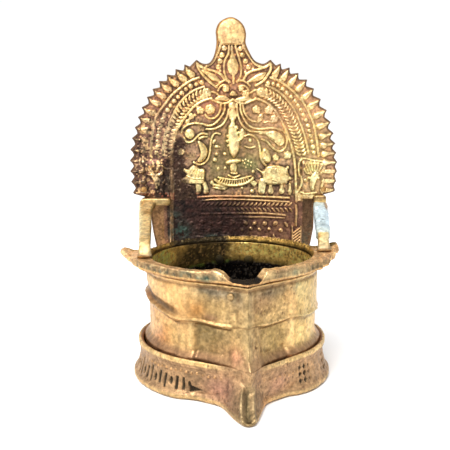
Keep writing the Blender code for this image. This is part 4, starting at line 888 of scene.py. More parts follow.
def colour_plate(verts, on_front):
    x, z = verts[:, 0], verts[:, 2]
    p = np.stack([x, np.zeros_like(x), z], -1)
    hgt = sample(RELIEF, x, z)
    cav = sample(CAVITY, x, z)
    n1, n2, n3 = fbm(p, 9, 3, 60), fbm(p, 2.2, 3, 61), fbm(p, 0.8, 2, 62)
    raised = smooth(0.10, 0.50, hgt + 0.16 * n2 - 0.5 * np.clip(cav, 0, 1))
    low = mix(srgb(190, 148, 112), PLUM, 0.34 + 0.6 * n1 + 0.5 * n2)
    n6 = fbm(p, 3.6, 2, 69)
    low = mix(low, srgb(164, 132, 84), 0.55 * smooth(-0.1, 0.5, n6))
    n5 = vnoise(p, 1.15, 67) + 0.5 * vnoise(p, 0.7, 68)
    low = mix(low, srgb(58, 38, 30), np.clip(2.7 * np.clip(cav, 0, 1) + 0.75 * smooth(0.15, 0.7, n5), 0, 0.94))
    low = mix(low, mix(GOLD, srgb(214, 150, 116), 0.5 + 0.6 * n1), 0.8 * smooth(0.25, 0.7, -n5 + 0.25 * n2))
    low = mix(low, PINK, 0.75 * gauss(p, (46, 0, 140), (14, 9, 16)) + 0.55 * gauss(p, (-12, 0, 133), (7, 9, 6))
              + 0.55 * gauss(p, (30, 0, 124), (16, 9, 8)) + 0.35 * gauss(p, (-44, 0, 135), (10, 9, 16))
              + 0.35 * gauss(p, (2, 0, 150), (16, 9, 8)) + 0.25 * smooth(0, 0.8, n2))
    low = mix(low, GOLD_DEEP, 0.45 * smooth(-0.1, 0.5, n2) * gauss(p, (3, 0, 146), (30, 9, 18)))
    low = mix(low, srgb(204, 164, 110), 0.40 * smooth(6, 16, x) * smooth(100, 108, z) * smooth(150, 142, z) + 0.45 * gauss(p, (47, 0, 93), (9, 9, 12)))
    low = mix(low, srgb(112, 100, 58), 0.62 * gauss(p, (0, 0, 108), (11, 9, 17)))
    low = mix(low, GREEN, 0.75 * gauss(p, (11, 0, 101.5), (5, 9, 4)) + 0.35 * gauss(p, (-7, 0, 100), (4, 9, 6)))
    high = mix(GOLD_PALE, GOLD, 0.45 + 0.6 * n1 + 0.5 * n2) * np.array([1.0, 1.03, 1.10])
    high = mix(high, GOLD_DEEP, 0.55 * smooth(0.1, 0.7, n3 + 0.4 * n2))
    high = mix(high, PINK, 0.5 * gauss(p, (30, 0, 128), (14, 9, 10)) + 0.35 * gauss(p, (-40, 0, 140), (10, 9, 16)))
    high = mix(high, GOLD_PALE, 0.6 * gauss(p, (1, 0, 112), (5, 9, 14)))
    col = mix(low, high, raised)
    # lower ground: dull plum, raised bits only thinly rubbed
    ground = smooth(84, 80, z)
    dull = mix(mix(PLUM, UMBER, 0.4 + 0.4 * n1), mix(GOLD, PINK, 0.5), 0.75 * raised + 0.12 * n2)
    col = mix(col, dull, 0.55 * ground)
    margin = smooth(82.6, 81.6, z) * (np.where(x < PLATE_CX, smooth(-35.6, -36.6, x), smooth(40.4, 41.2, x)))
    mcol = mix(mix(srgb(206, 162, 114), srgb(150, 112, 78), 0.45 + 0.6 * n2), OLIVE, 0.35 * smooth(0, 0.6, n1))
    # painted light and shade: the left margin is held light (0.80), the right one darkened (0.38) as painted shade
    # under its ear
    mcol = mcol * np.where(x < 0, 0.80, 0.38)[:, None] * (1 + 0.3 * vnoise(p, 1.1, 71))[:, None]
    mcol = mix(mcol, PLUM, 0.35 * (x > 0) * smooth(-0.4, 0.3, n1))
    mcol = mix(mcol, GOLD_DEEP, 0.6 * smooth(-38.5, -36, x) * (x < 0) * smooth(-0.2, 0.3, n2))
    mcol = mix(mcol, mix(UMBER, OLIVE_DARK, 0.5), (0.45 + 0.3 * n3) * (x > 0) + 0.55 * smooth(0.1, 0.6, n3 + 0.5 * n2))
    col = mix(col, mcol, margin)
    # left flames are dark, right ones bright
    border_l = smooth(-38, -44, x) * smooth(80, 90, z)
    col = mix(col, mix(UMBER, PLUM, 0.5 + 0.5 * n2), border_l * (0.25 + 0.6 * smooth(135, 100, z)) * (1 - 0.6 * raised))
    grime = sample(GRIME, x, z)
    g4 = vnoise(p, 0.85, 64) + 0.5 * vnoise(p, 1.9, 65)
    gcov = smooth(0.12, 0.6, grime + 0.25 * n2)
    col = col * (1 - 0.55 * smooth(-42.5, -45.5, x) * smooth(122, 112, z) * smooth(82, 86, z))[:, None]
    col = mix(col, mix(srgb(140, 96, 78), UMBER, 0.4 + 0.6 * n2), 0.80 * gcov * (1 - 0.3 * raised))
    col = mix(col, mix(srgb(226, 172, 136), GOLD, 0.5 + 0.5 * n1), 0.95 * gcov * smooth(0.20, 0.45, g4))
    col = mix(col, srgb(40, 28, 26), 0.85 * gcov * smooth(0.25, 0.5, -g4))
    # knob: plain pale gold with fine pits
    knob = sample(KNOB, x, z)
    kcol = mix(GOLD_PALE, GOLD, 0.5 + 0.5 * n1 + 0.25 * n2)
    kcol = mix(kcol, srgb(150, 98, 60), 0.6 * pits(p, 0.9, 25, 0.72))
    kcol = mix(kcol, PINK, 0.25 * gauss(p, (-3, 0, 172), (3, 9, 5)))
    col = mix(col, kcol, smooth(0.15, 0.5, knob))
    # soot and verdigris
    s = sample(SOOT, x, z)
    grain = fbm(p, 1.1, 3, 70)
    black = smooth(0.25, 0.8, s + 0.3 * grain - 0.28 * raised * (hgt > 0.7))
    col = mix(col, mix(BLACK, UMBER, 0.35 + 0.5 * n2), 0.93 * black)
    fleck = smooth(0.34, 0.55, vnoise(p, 0.95, 77) + 0.25 * n2) * smooth(0.2, 0.6, s)
    col = mix(col, mix(srgb(176, 136, 108), GREY, 0.5 + 0.6 * n2), (0.42 + 0.36 * smooth(82, 88, z)) * fleck)
    quiet = smooth(18, 8, x) * smooth(82.2, 81.4, z) * smooth(-32.5, -30.5, x)
    col = mix(col, mix(BLACK * 1.4, mix(UMBER, PLUM, 0.4), 0.35 + 0.7 * n2), (0.66 + 0.22 * smooth(8, -4, x)) * quiet)
    rule = smooth(81.8, 82.4, z) * smooth(86.2, 85.6, z) * raised * smooth(16, 6, x)
    col = mix(col, srgb(176, 98, 76), 0.5 * rule)
    col = col * (1 + np.array([0.16, 0.02, 0.0]) * gauss(p, (1, 0, 118), (8, 9, 18))[:, None])
    col = col * (1 + np.array([0.06, 0.20, 0.20]) * gauss(p, (36, 0, 130), (9, 9, 11))[:, None])
    col = col * (1 + 0.20 * gauss(p, (-40, 0, 96), (4.5, 9, 10))[:, None])
    f4 = vnoise(p, 0.75, 63) + 0.6 * vnoise(p, 1.5, 66)
    col = col * np.clip(1 + 0.42 * f4, 0.3, 1.7)[:, None]
    col = col * (1 - 0.28 * smooth(-43.0, -45.5, x) * smooth(120, 112, z) * smooth(83, 87, z))[:, None]
    col = col * (1 - np.array([0.04, 0.15, 0.12]) * gauss(p, (54.5, 0, 102), (4.5, 9, 13))[:, None])
    col = col * (1 + 0.16 * gauss(p, (46, 0, 96), (5.5, 9, 8)))[:, None]
    col = col * (1 + np.array([0.0, 0.0, 0.12]) * smooth(161, 164, z)[:, None])
    # painted light: the arch from z 142 down to the ear line is brightened and cooled, making up for the light falling
    # off lower down
    lift = smooth(142, 112, z) * smooth(83, 88, z) * (1 - black)
    col = col * (1 + lift[:, None] * np.array([0.10, 0.22, 0.26]))
    strip = np.exp(-((x + 31.7) / 0.8) ** 2) * smooth(56, 60, z) * smooth(112, 96, z)
    col = mix(col, mix(srgb(206, 164, 116), UMBER, 0.5 + 0.8 * n2), 0.6 * strip)
    teal = gauss(p, (-27, 0, 64), (6, 9, 5)) + 0.8 * gauss(p, (-9, 0, 60.5), (6, 9, 2.2)) + 1.1 * gauss(p, (44.5, 0, 60), (3.2, 9, 5)) \
        + 0.5 * gauss(p, (-30, 0, 73), (4, 9, 5)) + 0.25 * gauss(p, (-36, 0, 92), (4, 9, 6))
    col = mix(col, mix(TEAL, BLACK, 0.3 + 0.4 * n2), np.clip(teal, 0, 1) * smooth(-0.35, 0.4, n2 + 0.3 * grain) * 0.9)
    gcol = mix(OLIVE, OLIVE_DARK, 0.5 + 0.5 * n2)
    col = mix(col, gcol, 0.16 * gauss(p, (1, 0, 106), (13, 9, 17)) * (1 - 0.5 * raised))
    # back and sides: brown cast skin with rubbed gold
    bcol = mix(mix(GOLD_DEEP, OLIVE, 0.5 + 0.6 * n1), UMBER, 0.35 + 0.6 * n2)
    bcol = mix(bcol, GOLD, 0.4 * smooth(0.2, 0.7, n3))
    bcol = mix(bcol, BLACK, 0.55 * smooth(0.1, 0.7, n1) * smooth(110, 70, z))
    col = np.where(on_front[:, None], col, bcol)
    edge = (~on_front) & (verts[:, 1] < PLATE_Y + 1.2)
    ecol = mix(mix(srgb(128, 98, 64), srgb(96, 66, 52), 0.5 + 0.5 * n2), UMBER, 0.4 * border_l)
    ecol = mix(ecol, GOLD_DEEP, 0.5 * smooth(158, 163, z))
    col = np.where(edge[:, None], ecol, col)
    gloss = np.clip(0.35 + 0.5 * raised - 0.5 * black, 0, 1)
    return np.clip(col, 0.0015, 0.95), np.where(on_front, gloss, 0.25)


# ---------------------------------------------------- shared plan-view outlines
def front_angle(theta):
    return (np.degrees(theta) + 90.0 + 180.0) % 360.0 - 180.0


def bowl_plan(theta, base_r, keel_r):
    """Radius of the bowl's plan: a circle with two flats that meet at the keel."""
    base_r = np.broadcast_to(base_r, theta.shape).astype(float)
    keel_r = np.broadcast_to(keel_r, theta.shape).astype(float)

    def at(r, deg):
        a = math.radians(deg - 90.0)
        return r * math.cos(a), r * math.sin(a)
    lx, ly = at(base_r, KEEL_AZ - PROW_LEFT)
    kx, ky = at(keel_r, KEEL_AZ)
    rx, ry = at(base_r, KEEL_AZ + PROW_RIGHT)
    phi = front_angle(theta) - KEEL_AZ
    use_left = phi < 0
    ax, ay = np.where(use_left, lx, kx), np.where(use_left, ly, ky)
    bx, by = np.where(use_left, kx, rx), np.where(use_left, ky, ry)
    dx, dy = bx - ax, by - ay
    r = (ax * dy - ay * dx) / (np.cos(theta) * dy - np.sin(theta) * dx)
    inside = (phi > -PROW_LEFT) & (phi < PROW_RIGHT)
    return np.where(inside, np.maximum(r, base_r), base_r)


def keel_radius(z):
    return KEEL_TOP_R + (KEEL_LOW_R - KEEL_TOP_R) * smooth(56.0, 16.0, z)


def notch_top(theta, radius):
    """Height of the rim's top, which the wick notch breaks at the front."""
    az = math.radians(NOTCH_AZ - 90.0)
    u = radius * np.sin(theta - az)
    front = np.cos(theta - az) > 0
    us = [-22.0, -17.5, -14.8, -12.4, -11.1, -10.0, -8.3, -6.4, -4.4, -1.0, 2.0, 4.2, 5.2, 6.9, 8.1, 9.2, 11.0]
    zs = [61.6, 61.9, 62.6, 62.1, 61.6, 60.9, 58.9, 57.9, 57.4, 57.2, 57.3, 57.3, 57.9, 60.1, 61.9, 62.1, 61.6]
    cut = np.interp(u, us, zs) + 0.12 * np.sin(u * 1.3 + 0.5)
    return np.where(front & (np.abs(u) < 21), cut, RIM_TOP)


def tilt(x):
    """The rim dips a little to the left."""
    return -0.15 + 0.0145 * x


def thetas(count, centre=None, gain=0.0, width=20.0):
    """Angles round the axis, closer together near a direction."""
    t = np.linspace(0, 1, 4001)
    deg = -180.0 + 360.0 * t
    w = np.ones_like(t)
    if centre is not None:
        w = w + gain * np.exp(-((deg - centre) / width) ** 2)
    c = np.concatenate([[0], np.cumsum((w[1:] + w[:-1]) / 2)])
    c /= c[-1]
    s = np.interp(np.arange(count) / count, c, deg)
    return np.radians(s - 90.0)


def profile_points(keys, counts):
    """keys: list of tuples; returns rows blended between them, counts per span."""
    rows = []
    for (a, b), c in zip(zip(keys, keys[1:]), counts):
        t = np.linspace(0, 1, c, endpoint=False)[:, None]
        rows.append(np.array(a)[None] * (1 - t) + np.array(b)[None] * t)
    rows.append(np.array(keys[-1])[None])
    return np.vstack(rows)


# ------------------------------------------------------------------------ bowl
def build_bowl():
    k = 1.0
    th = thetas(int(560 * k), 6.0, 1.4, 34.0)
    # stations down the outside, under the bottom, up the inside: (radius, height, kind)
    # kind 0 outer wall, 1 inner wall, 2 neck
    keys = [(NECK_TOP_IN, 58.7, 1, 0), (41.2, 58.8, 2, 0), (41.7, 58.5, 2, 0), (41.7, 56.1, 2, 0), (42.6, DRUM_TOP, 0, 1),
            (DRUM_R, DRUM_TOP - 0.4, 0, 1), (DRUM_R, 3.9, 0, 1), (41.0, 3.35, 0, 1), (20.0, 3.3, 0, 1), (0.8, 3.3, 0, 1)]
    counts = [1, 2, 2, 2, 2, int(130 * k), 3, 5, 3]
    outer = profile_points(keys, counts)
    keys_in = [(0.8, BOWL_FLOOR, 1, 0), (24.0, BOWL_FLOOR, 1, 0), (33.2, BOWL_FLOOR + 0.3, 1, 0), (37.2, BOWL_FLOOR + 1.8, 1, 0.3),
               (39.5, BOWL_FLOOR + 5.0, 1, 0.8), (BOWL_IN_R, BOWL_FLOOR + 9.0, 1, 1.0), (BOWL_IN_R, 45.0, 1, 1.0),
               (BOWL_IN_R, 51.0, 1, 0.5), (BOWL_IN_R, 53.6, 1, 0.0), (BOWL_IN_R, 58.5, 1, 0.0)]
    counts_in = [4, 4, 4, 4, 4, int(36 * k), int(14 * k), int(6 * k), int(10 * k)]
    inner = profile_points(keys_in, counts_in)
    TH, S = np.meshgrid(th, np.arange(len(outer)), indexing="ij")
    R0, Z, KIND, PROW = (outer[S, c] for c in range(4))
    phi = front_angle(TH)
    # outer wall shaping: the mid moulding, low panels, slight taper
    step_z = STEP_Z + 5.2 * smooth(-40, -82, phi) - 2.3 * smooth(40, 74, phi) + 0.4 * np.sin(phi * 0.21)
    kphi = phi - KEEL_AZ
    under = smooth(step_z + 0.5, step_z - 0.6, Z)
    r = np.where((KIND == 0) & (Z < 55.6) & (R0 > 42.0), DRUM_R - 0.95 * under, R0)
    keel = keel_radius(Z) - (DRUM_R - np.minimum(r, DRUM_R))
    plan = np.where((KIND == 0) & (R0 > 41.5), bowl_plan(TH, r, keel), r)
    scale_low = np.where((KIND == 0) & (R0 <= 41.5), bowl_plan(TH, DRUM_LOW_R, keel_radius(Z)) / DRUM_LOW_R, 1.0)
    fade = np.where(R0 <= 41.5, smooth(0.0, 41.0, R0), 1.0)
    plan = plan * (1 + (scale_low - 1) * fade)
    Po = np.stack([plan * np.cos(TH), plan * np.sin(TH), Z], -1)
    # relief on the outer wall
    wall = ((KIND == 0) & (Z > 4.5) & (Z < 55.7)).astype(float)
    d = np.zeros_like(plan)
    d += 1.1 * np.exp(-((Z - step_z) / (0.8 + 0.5 * smooth(-36, -46, phi))) ** 2) * (0.55 + 0.45 * smooth(0.0, 0.6, np.abs(np.sin(phi * 0.11 + 0.4))))
    d *= 1 - 0.9 * np.exp(-(kphi / 6.5) ** 2)                       # the moulding dies at the keel
    d += 1.3 * np.exp(-(kphi / (2.3 + 0.03 * (54 - Z))) ** 2)       # keel bead
    d += 0.5 * smooth(54.3, 55.2, Z) - 0.5 * np.exp(-((Z - 53.6) / 0.7) ** 2)
    d += 2.7 * smooth(23.5, 19.2, Z) * smooth(14.5, 17.0, Z)          # spread into the collar
    d += 2.9 * np.exp(-(kphi / 8.0) ** 2) * smooth(34.0, 19.0, Z) * smooth(7.0, 12.0, Z)
    # pilaster edges where the flats leave the drum
    d += 0.55 * np.exp(-((kphi + PROW_LEFT - 2.5) / 3.0) ** 2) * smooth(step_z + 2, step_z - 3, Z)
    d += 0.45 * np.exp(-((kphi - PROW_RIGHT + 2.0) / 3.2) ** 2) * smooth(53, 30, Z)
    # hollow panels under the moulding
    panel_l = smooth(-PROW_LEFT + 5.0, -PROW_LEFT + 8.5, kphi) * smooth(-6.0, -10.0, kphi) * smooth(step_z - 1.0, step_z - 2.6, Z)
    panel_r = smooth(5.5, 9.5, kphi) * smooth(PROW_RIGHT - 4.0, PROW_RIGHT - 8.0, kphi) * smooth(step_z - 1.0, step_z - 2.6, Z)
    panel_s = smooth(-PROW_LEFT - 4.0, -PROW_LEFT - 9.0, kphi) * smooth(-100, -80, phi) * smooth(step_z - 1.0, step_z - 3.0, Z) * 0.6
    d -= 1.5 * (panel_l + panel_r + panel_s)
    upper_l = smooth(-PROW_LEFT - 3.0, -PROW_LEFT - 12.0, kphi) * smooth(step_z + 0.8, step_z + 1.8, Z) * smooth(step_z + 6.5, step_z + 3.0, Z)
    d -= 1.3 * upper_l * smooth(-100, -84, phi)
    d += 0.5 * np.exp(-((phi + 52 - (Z - 38) * 1.2) / 9.0) ** 2) * np.exp(-((Z - step_z - 1.2) / 1.6) ** 2)
    n1, n2, n3 = fbm(Po, 11, 3, 80), fbm(Po, 3.2, 3, 81), fbm(Po, 1.1, 2, 82)
    d += 0.42 * n1 + 0.20 * n2 + 0.08 * n3
    pit = pits(Po, 1.0, 83, 0.42) * (0.45 + 0.55 * smooth(-30, -5, phi))
    d -= 0.26 * pit + 0.4 * pits(Po, 2.4, 84, 0.6)
    nrm = np.stack([np.cos(TH), np.sin(TH), np.zeros_like(TH)], -1)
    Po = Po + nrm * (d * wall)[..., None]
    small = np.where(KIND == 2, 0.03, 0.0)
    Po = Po + nrm * (small * n3)[..., None]
    # the neck is cut by the wick notch
    cut = notch_top(TH, 41.5) - 1.0
    Po[..., 2] = np.where((KIND == 2) | ((KIND == 1)), np.minimum(Po[..., 2], np.maximum(cut, 56.15)), Po[..., 2])
    TI, SI = np.meshgrid(th, np.arange(len(inner)), indexing="ij")
    Ri, Zi, PK = inner[SI, 0], inner[SI, 1], inner[SI, 3]
    reach = Ri + np.maximum(0, keel_radius(Zi) - 4.4 - Ri) * PK
    plan_i = bowl_plan(TI, Ri, np.maximum(reach, Ri + 0.02))
    Pi = np.stack([plan_i * np.cos(TI), plan_i * np.sin(TI), Zi], -1)
    ni = np.stack([np.cos(TI), np.sin(TI), np.zeros_like(TI)], -1)
    walli = (Ri > 36).astype(float)
    m1, m2 = fbm(Pi, 9, 3, 90), fbm(Pi, 2.2, 3, 91)
    Pi = Pi - ni * ((0.16 * m1 + 0.10 * m2 - 0.12) * walli)[..., None]
    Pi[..., 2] += (0.25 * m1 * (Ri < 37))
    Pi[..., 2] = np.minimum(Pi[..., 2], np.maximum(notch_top(TI, 40.5) - 1.0, 56.15))
    P = np.concatenate([Po[:, ::-1], Pi[:, ::-1]], axis=1)
    co = colour_bowl_outer(Po, phi, Z, KIND, step_z, pit, n1, n2, n3, kphi)
    ci = colour_bowl_inner(Pi, TI)
    go = np.clip(0.62 + 0.2 * n1 - 0.5 * pit, 0, 1)
    gi = np.where(Pi[..., 2] < 46.5, 0.95, 0.4)
    return P, {"Col": np.concatenate([co[:, ::-1], ci[:, ::-1]], 1), "gloss": np.concatenate([go[:, ::-1], gi[:, ::-1]], 1)}


NECK_TOP_IN = 40.7


def colour_bowl_outer(P, phi, Z, KIND, step_z, pit, n1, n2, n3, kphi):
    q = np.stack([phi, np.zeros_like(phi), Z], -1)

    def spot(a, z, ra, rz):
        return gauss(q, (a, 0, z), (ra, 9, rz))
    gold = mix(srgb(232, 192, 132), srgb(206, 158, 98), 0.5 + 0.7 * n1 + 0.5 * n2)
    dull = mix(srgb(178, 148, 100), srgb(140, 116, 72), 0.5 + 0.7 * n2 + 0.3 * n1)
    # the left third and the far right are bright, the middle olive
    middle = smooth(-30, -20, phi + 4 * n1) * smooth(40, 30, phi + 5 * n2)
    col = mix(gold, dull, 0.78 * middle)
    col = mix(col, ORANGE, 0.75 * spot(-24, 42, 6, 5) + 0.5 * spot(-52, 26, 9, 6) + 0.35 * spot(-8, 24, 10, 6)
              + 0.4 * spot(-16, 37.5, 5, 2.5))
    col = mix(col, PINK, 0.65 * spot(1, 22.5, 9, 5) + 0.5 * spot(-75, 44, 8, 5) + 0.35 * spot(-62, 24, 10, 5))
    grey = spot(-10, 52, 10, 3.4) + spot(2, 50, 5, 4) + 0.9 * spot(22, 51.5, 12, 3.2) + 0.7 * spot(-20, 52.5, 8, 2)
    col = mix(col, mix(GREY, OLIVE_DARK, 0.4 + 0.4 * n2), 0.8 * np.clip(grey, 0, 1))
    col = mix(col, mix(OLIVE_DARK, OLIVE, 0.5 + 0.5 * n2), 0.62 * np.clip(spot(-14, 31, 8, 4.5) + spot(25, 31, 9, 5) + 0.8 * spot(28, 27, 8, 4), 0, 1))
    col = mix(col, TEAL, 0.6 * np.clip(spot(43, 50.5, 4, 3), 0, 1) * smooth(-0.3, 0.3, n2))
    col = mix(col, PLUM, 0.55 * spot(-15, 39.6, 5, 1.8) + 0.3 * np.clip(spot(14, 47, 10, 5), 0, 1))
    # painted highlight: a pale strip along the moulding, where its ledge catches the light
    moulding = np.exp(-((Z - step_z) / 0.8) ** 2)
    col = mix(col, srgb(236, 200, 142), 0.6 * moulding * (np.abs(kphi) > 8))
    # painted shadow: a dark band just below the moulding
    col = mix(col, mix(srgb(120, 82, 54), OLIVE_DARK, 0.4), 0.62 * np.exp(-((Z - step_z + 1.6) / 0.8) ** 2) * (np.abs(kphi) > 8))
    # painted shadow: a dark band in the hollow above the moulding on the left
    col = mix(col, mix(srgb(116, 92, 66), srgb(74, 60, 48), 0.5 + 1.2 * n2), 0.90 * np.exp(-((Z - step_z - 2.9) / 2.1) ** 2) * smooth(-36, -46, phi) * smooth(-100, -84, phi))
    keel = np.exp(-(kphi / 3.2) ** 2)
    col = mix(col, mix(srgb(190, 162, 114), srgb(146, 122, 82), 0.4 + 0.7 * n2), 0.85 * keel)
    col = mix(col, srgb(112, 84, 54), 0.5 * np.exp(-((np.abs(kphi) - 4.6) / 0.9) ** 2) * smooth(-0.5, 0.3, n2))
    col = mix(col, srgb(104, 76, 52), 0.75 * pit * (1 - 0.4 * keel))
    inset_l = smooth(-33.0, -29.5, kphi) * smooth(-6.0, -10.0, kphi) * smooth(step_z - 1.0, step_z - 2.6, Z)
    inset_r = smooth(5.5, 9.5, kphi) * smooth(31.0, 27.0, kphi) * smooth(step_z - 1.0, step_z - 2.6, Z)
    col = mix(col, mix(srgb(160, 134, 92), srgb(120, 98, 62), 0.5 + 0.7 * n2), 0.7 * inset_l)
    col = mix(col, mix(srgb(196, 164, 108), srgb(150, 124, 76), 0.5 + 0.7 * n2), 0.45 * inset_r)
    shelf = np.exp(-((kphi + 35.0) / 1.6) ** 2) * smooth(step_z, step_z - 3, Z) + np.exp(-((kphi - 33.5) / 2.0) ** 2) * smooth(50, 34, Z)
    col = mix(col, srgb(242, 208, 146), 0.55 * np.clip(shelf, 0, 1) * smooth(21.5, 25, Z))
    left_low = smooth(-18, -30, phi) * smooth(50, 40, Z) * smooth(-112, -92, phi)
    col = col * (1 - np.array([0.14, 0.20, 0.24]) * left_low[..., None])
    col = col * (1 + np.array([0.22, 0.20, 0.16]) * (smooth(34, 42, phi) * smooth(36, 30, Z) * smooth(112, 92, phi))[..., None])
    col = col * (1 - np.array([0.34, 0.27, 0.27]) * spot(-24, 40, 8, 9)[..., None])
    col = col * (1 - np.array([0.14, 0.04, 0.04]) * spot(-42, 27, 16, 6)[..., None])
    col = col * (1 - np.array([0.13, 0.0, 0.0]) * (smooth(40, 46, phi) * smooth(88, 66, phi))[..., None])
    col = col * (1 + 0.15 * smooth(-14, -8, phi) * smooth(40, 34, phi) * (1 - np.exp(-(kphi / 4.0) ** 2)))[..., None]
    v4 = vnoise(P, 0.9, 85) + 0.8 * vnoise(P, 1.8, 86)
    col = col * np.clip(1 + 0.30 * v4 * (0.5 + 0.5 * middle), 0.4, 1.6)[..., None]
    col = mix(col, srgb(150, 118, 60), 0.35 * smooth(0.25, 0.7, n3) * middle)
    col = mix(col, mix(srgb(160, 120, 86), srgb(120, 88, 64), 0.5 + 0.6 * n2), 0.85 * smooth(24.0, 20.6, Z) * (1 - np.exp(-(kphi / 11.0) ** 2)))
    col = mix(col, mix(srgb(184, 146, 104), srgb(146, 112, 80), 0.5 + 0.7 * n2), 0.7 * smooth(25.0, 20.0, Z) * np.exp(-(kphi / 12.0) ** 2))
    col = mix(col, srgb(120, 88, 56), 0.75 * np.exp(-((Z - 53.6) / 0.75) ** 2))
    col = mix(col, srgb(214, 176, 118), 0.6 * smooth(54.2, 55.0, Z))
    col = mix(col, mix(GOLD_DEEP, OLIVE, 0.5 + 0.5 * n2), 0.35 * (np.abs(phi) > 80))
    # the neck's own brown, darkened by 0.65 behind (|phi| > 90) as painted shade where its top catches the key light
    neck = mix(UMBER, GOLD_DEEP, 0.4 + 0.4 * n2) * (1 - 0.65 * (np.abs(phi) > 90))[..., None]
    # painted black at the wick notch: soot, deepened to the shade of the gap into the bowl
    neck = mix(neck, BLACK, 0.95 * (np.abs(phi - NOTCH_AZ) < 15))
    col = np.where((KIND != 0)[..., None], neck, col)
    return np.clip(col, 0.002, 0.95)


def colour_bowl_inner(P, TH):
    phi = front_angle(TH)
    rear = np.degrees(np.arctan2(P[..., 0], P[..., 1]))           # 0 at the rear wall
    q = np.stack([rear, np.zeros_like(rear), P[..., 2]], -1)
    n1, n2 = fbm(P, 7, 3, 95), fbm(P, 2.0, 3, 96)
    n3 = fbm(P, 0.9, 2, 97)
    z = P[..., 2] + 1.4 * n1 + 0.8 * n2
    wall = mix(srgb(204, 166, 92), srgb(142, 114, 56), 0.5 + 0.7 * n2)
    wall = mix(wall, srgb(232, 196, 124), 0.6 * smooth(0.1, 0.6, n3 + 0.4 * n2))
    wall = mix(wall, srgb(84, 66, 32), 0.7 * smooth(0.2, 0.55, -n3 + 0.3 * n2))
    wall = mix(wall, srgb(56, 42, 20), 0.75 * smooth(0.2, 0.6, vnoise(P, 0.8, 94) + 0.4 * n3) * smooth(51.5, 54.5, P[..., 2]) * smooth(-6, 6, rear))
    # painted light: the inner wall is brightened about 1.5 to 2.7 times to offset the shade it stands in
    wall = wall * (1.55 + 0.60 * smooth(-6, 16, rear) + 0.35 * smooth(2, -16, rear) + 0.75 * smooth(-30, -50, rear))[..., None]
    soot_wall = smooth(-56, -38, rear + 7 * n1) * smooth(4, -3, rear + 5 * n2)
    soot_wall = soot_wall * (1 - 0.7 * gauss(q, (-40, 0, 57.5), (5, 9, 3)))
    wall = mix(wall, mix(BLACK, OLIVE_DARK * 0.8, 0.30 + 1.1 * vnoise(P, 1.1, 93) + 0.5 * n2), 0.93 * soot_wall)
    wall = mix(wall, mix(OLIVE, mix(GOLD_DEEP, GREY, 0.4), 0.5 + 0.7 * n2) * 1.3, 0.85 * soot_wall * smooth(0.20, 0.42, vnoise(P, 0.85, 99) + 0.3 * n1))
    # painted shade: the wall's top edge (over z 58) is darkened so it does not catch the key light
    wall = wall * (1 - 0.70 * smooth(58.0, 58.6, P[..., 2]))[..., None]
    tide = 47.6 + 0.9 * np.sin(rear * 0.05) - 0.9 * smooth(10, 60, rear) + 0.9 * smooth(-14, 2, rear) * smooth(14, 4, rear)
    deep = mix(BLACK * 0.9, srgb(112, 102, 92), 0.7 * smooth(0.32, 0.6, vnoise(P, 0.9, 98) + 0.35 * n1))
    flat = smooth(37.5, 35.5, np.hypot(P[..., 0], P[..., 1]))[..., None]
    deep = deep * (1 - flat) + mix(BLACK * 1.2, srgb(84, 74, 60), 0.30 + 0.5 * fbm(P, 11, 2, 92)) * flat
    wall = mix(wall, srgb(74, 62, 22), 0.78 * smooth(tide + 4.2, tide + 0.4, z))
    col = mix(wall, deep, smooth(tide + 0.7, tide - 0.7, z))
    col = mix(col, srgb(122, 142, 62), 0.8 * np.exp(-((z - tide) / 0.7) ** 2) * smooth(-0.4, 0.2, n2) * smooth(-36, -30, rear) * smooth(4, -2, rear))
    return np.clip(col, 0.0012, 0.9)


# ------------------------------------------------------------------------- rim
def rim_outer(theta):
    """Plan radius of the flange: a front band, an ear swept out at each side, a bare lip behind."""
    deg = (np.degrees(theta) + 90.0) % 360.0 - 90.0
    right = deg < 90.0
    tip = np.where(right, EAR_RIGHT, EAR_LEFT)
    psi = np.where(right, deg - EAR_RIGHT_AZ, 180.0 - deg - EAR_LEFT_AZ)
    rear = tip + (RIM_REAR - tip) * np.clip((psi - 5.0) / 3.0, 0, 1)
    grow = np.maximum(0.0, 1.0 + psi / EAR_SWEEP) ** 1.7
    front = np.maximum(RIM_OUT + (tip - RIM_OUT) * np.minimum(grow, 1.0), bowl_plan(theta, RIM_OUT, KEEL_TOP_R + 3.0))
    return np.where(psi > 0, rear, front)


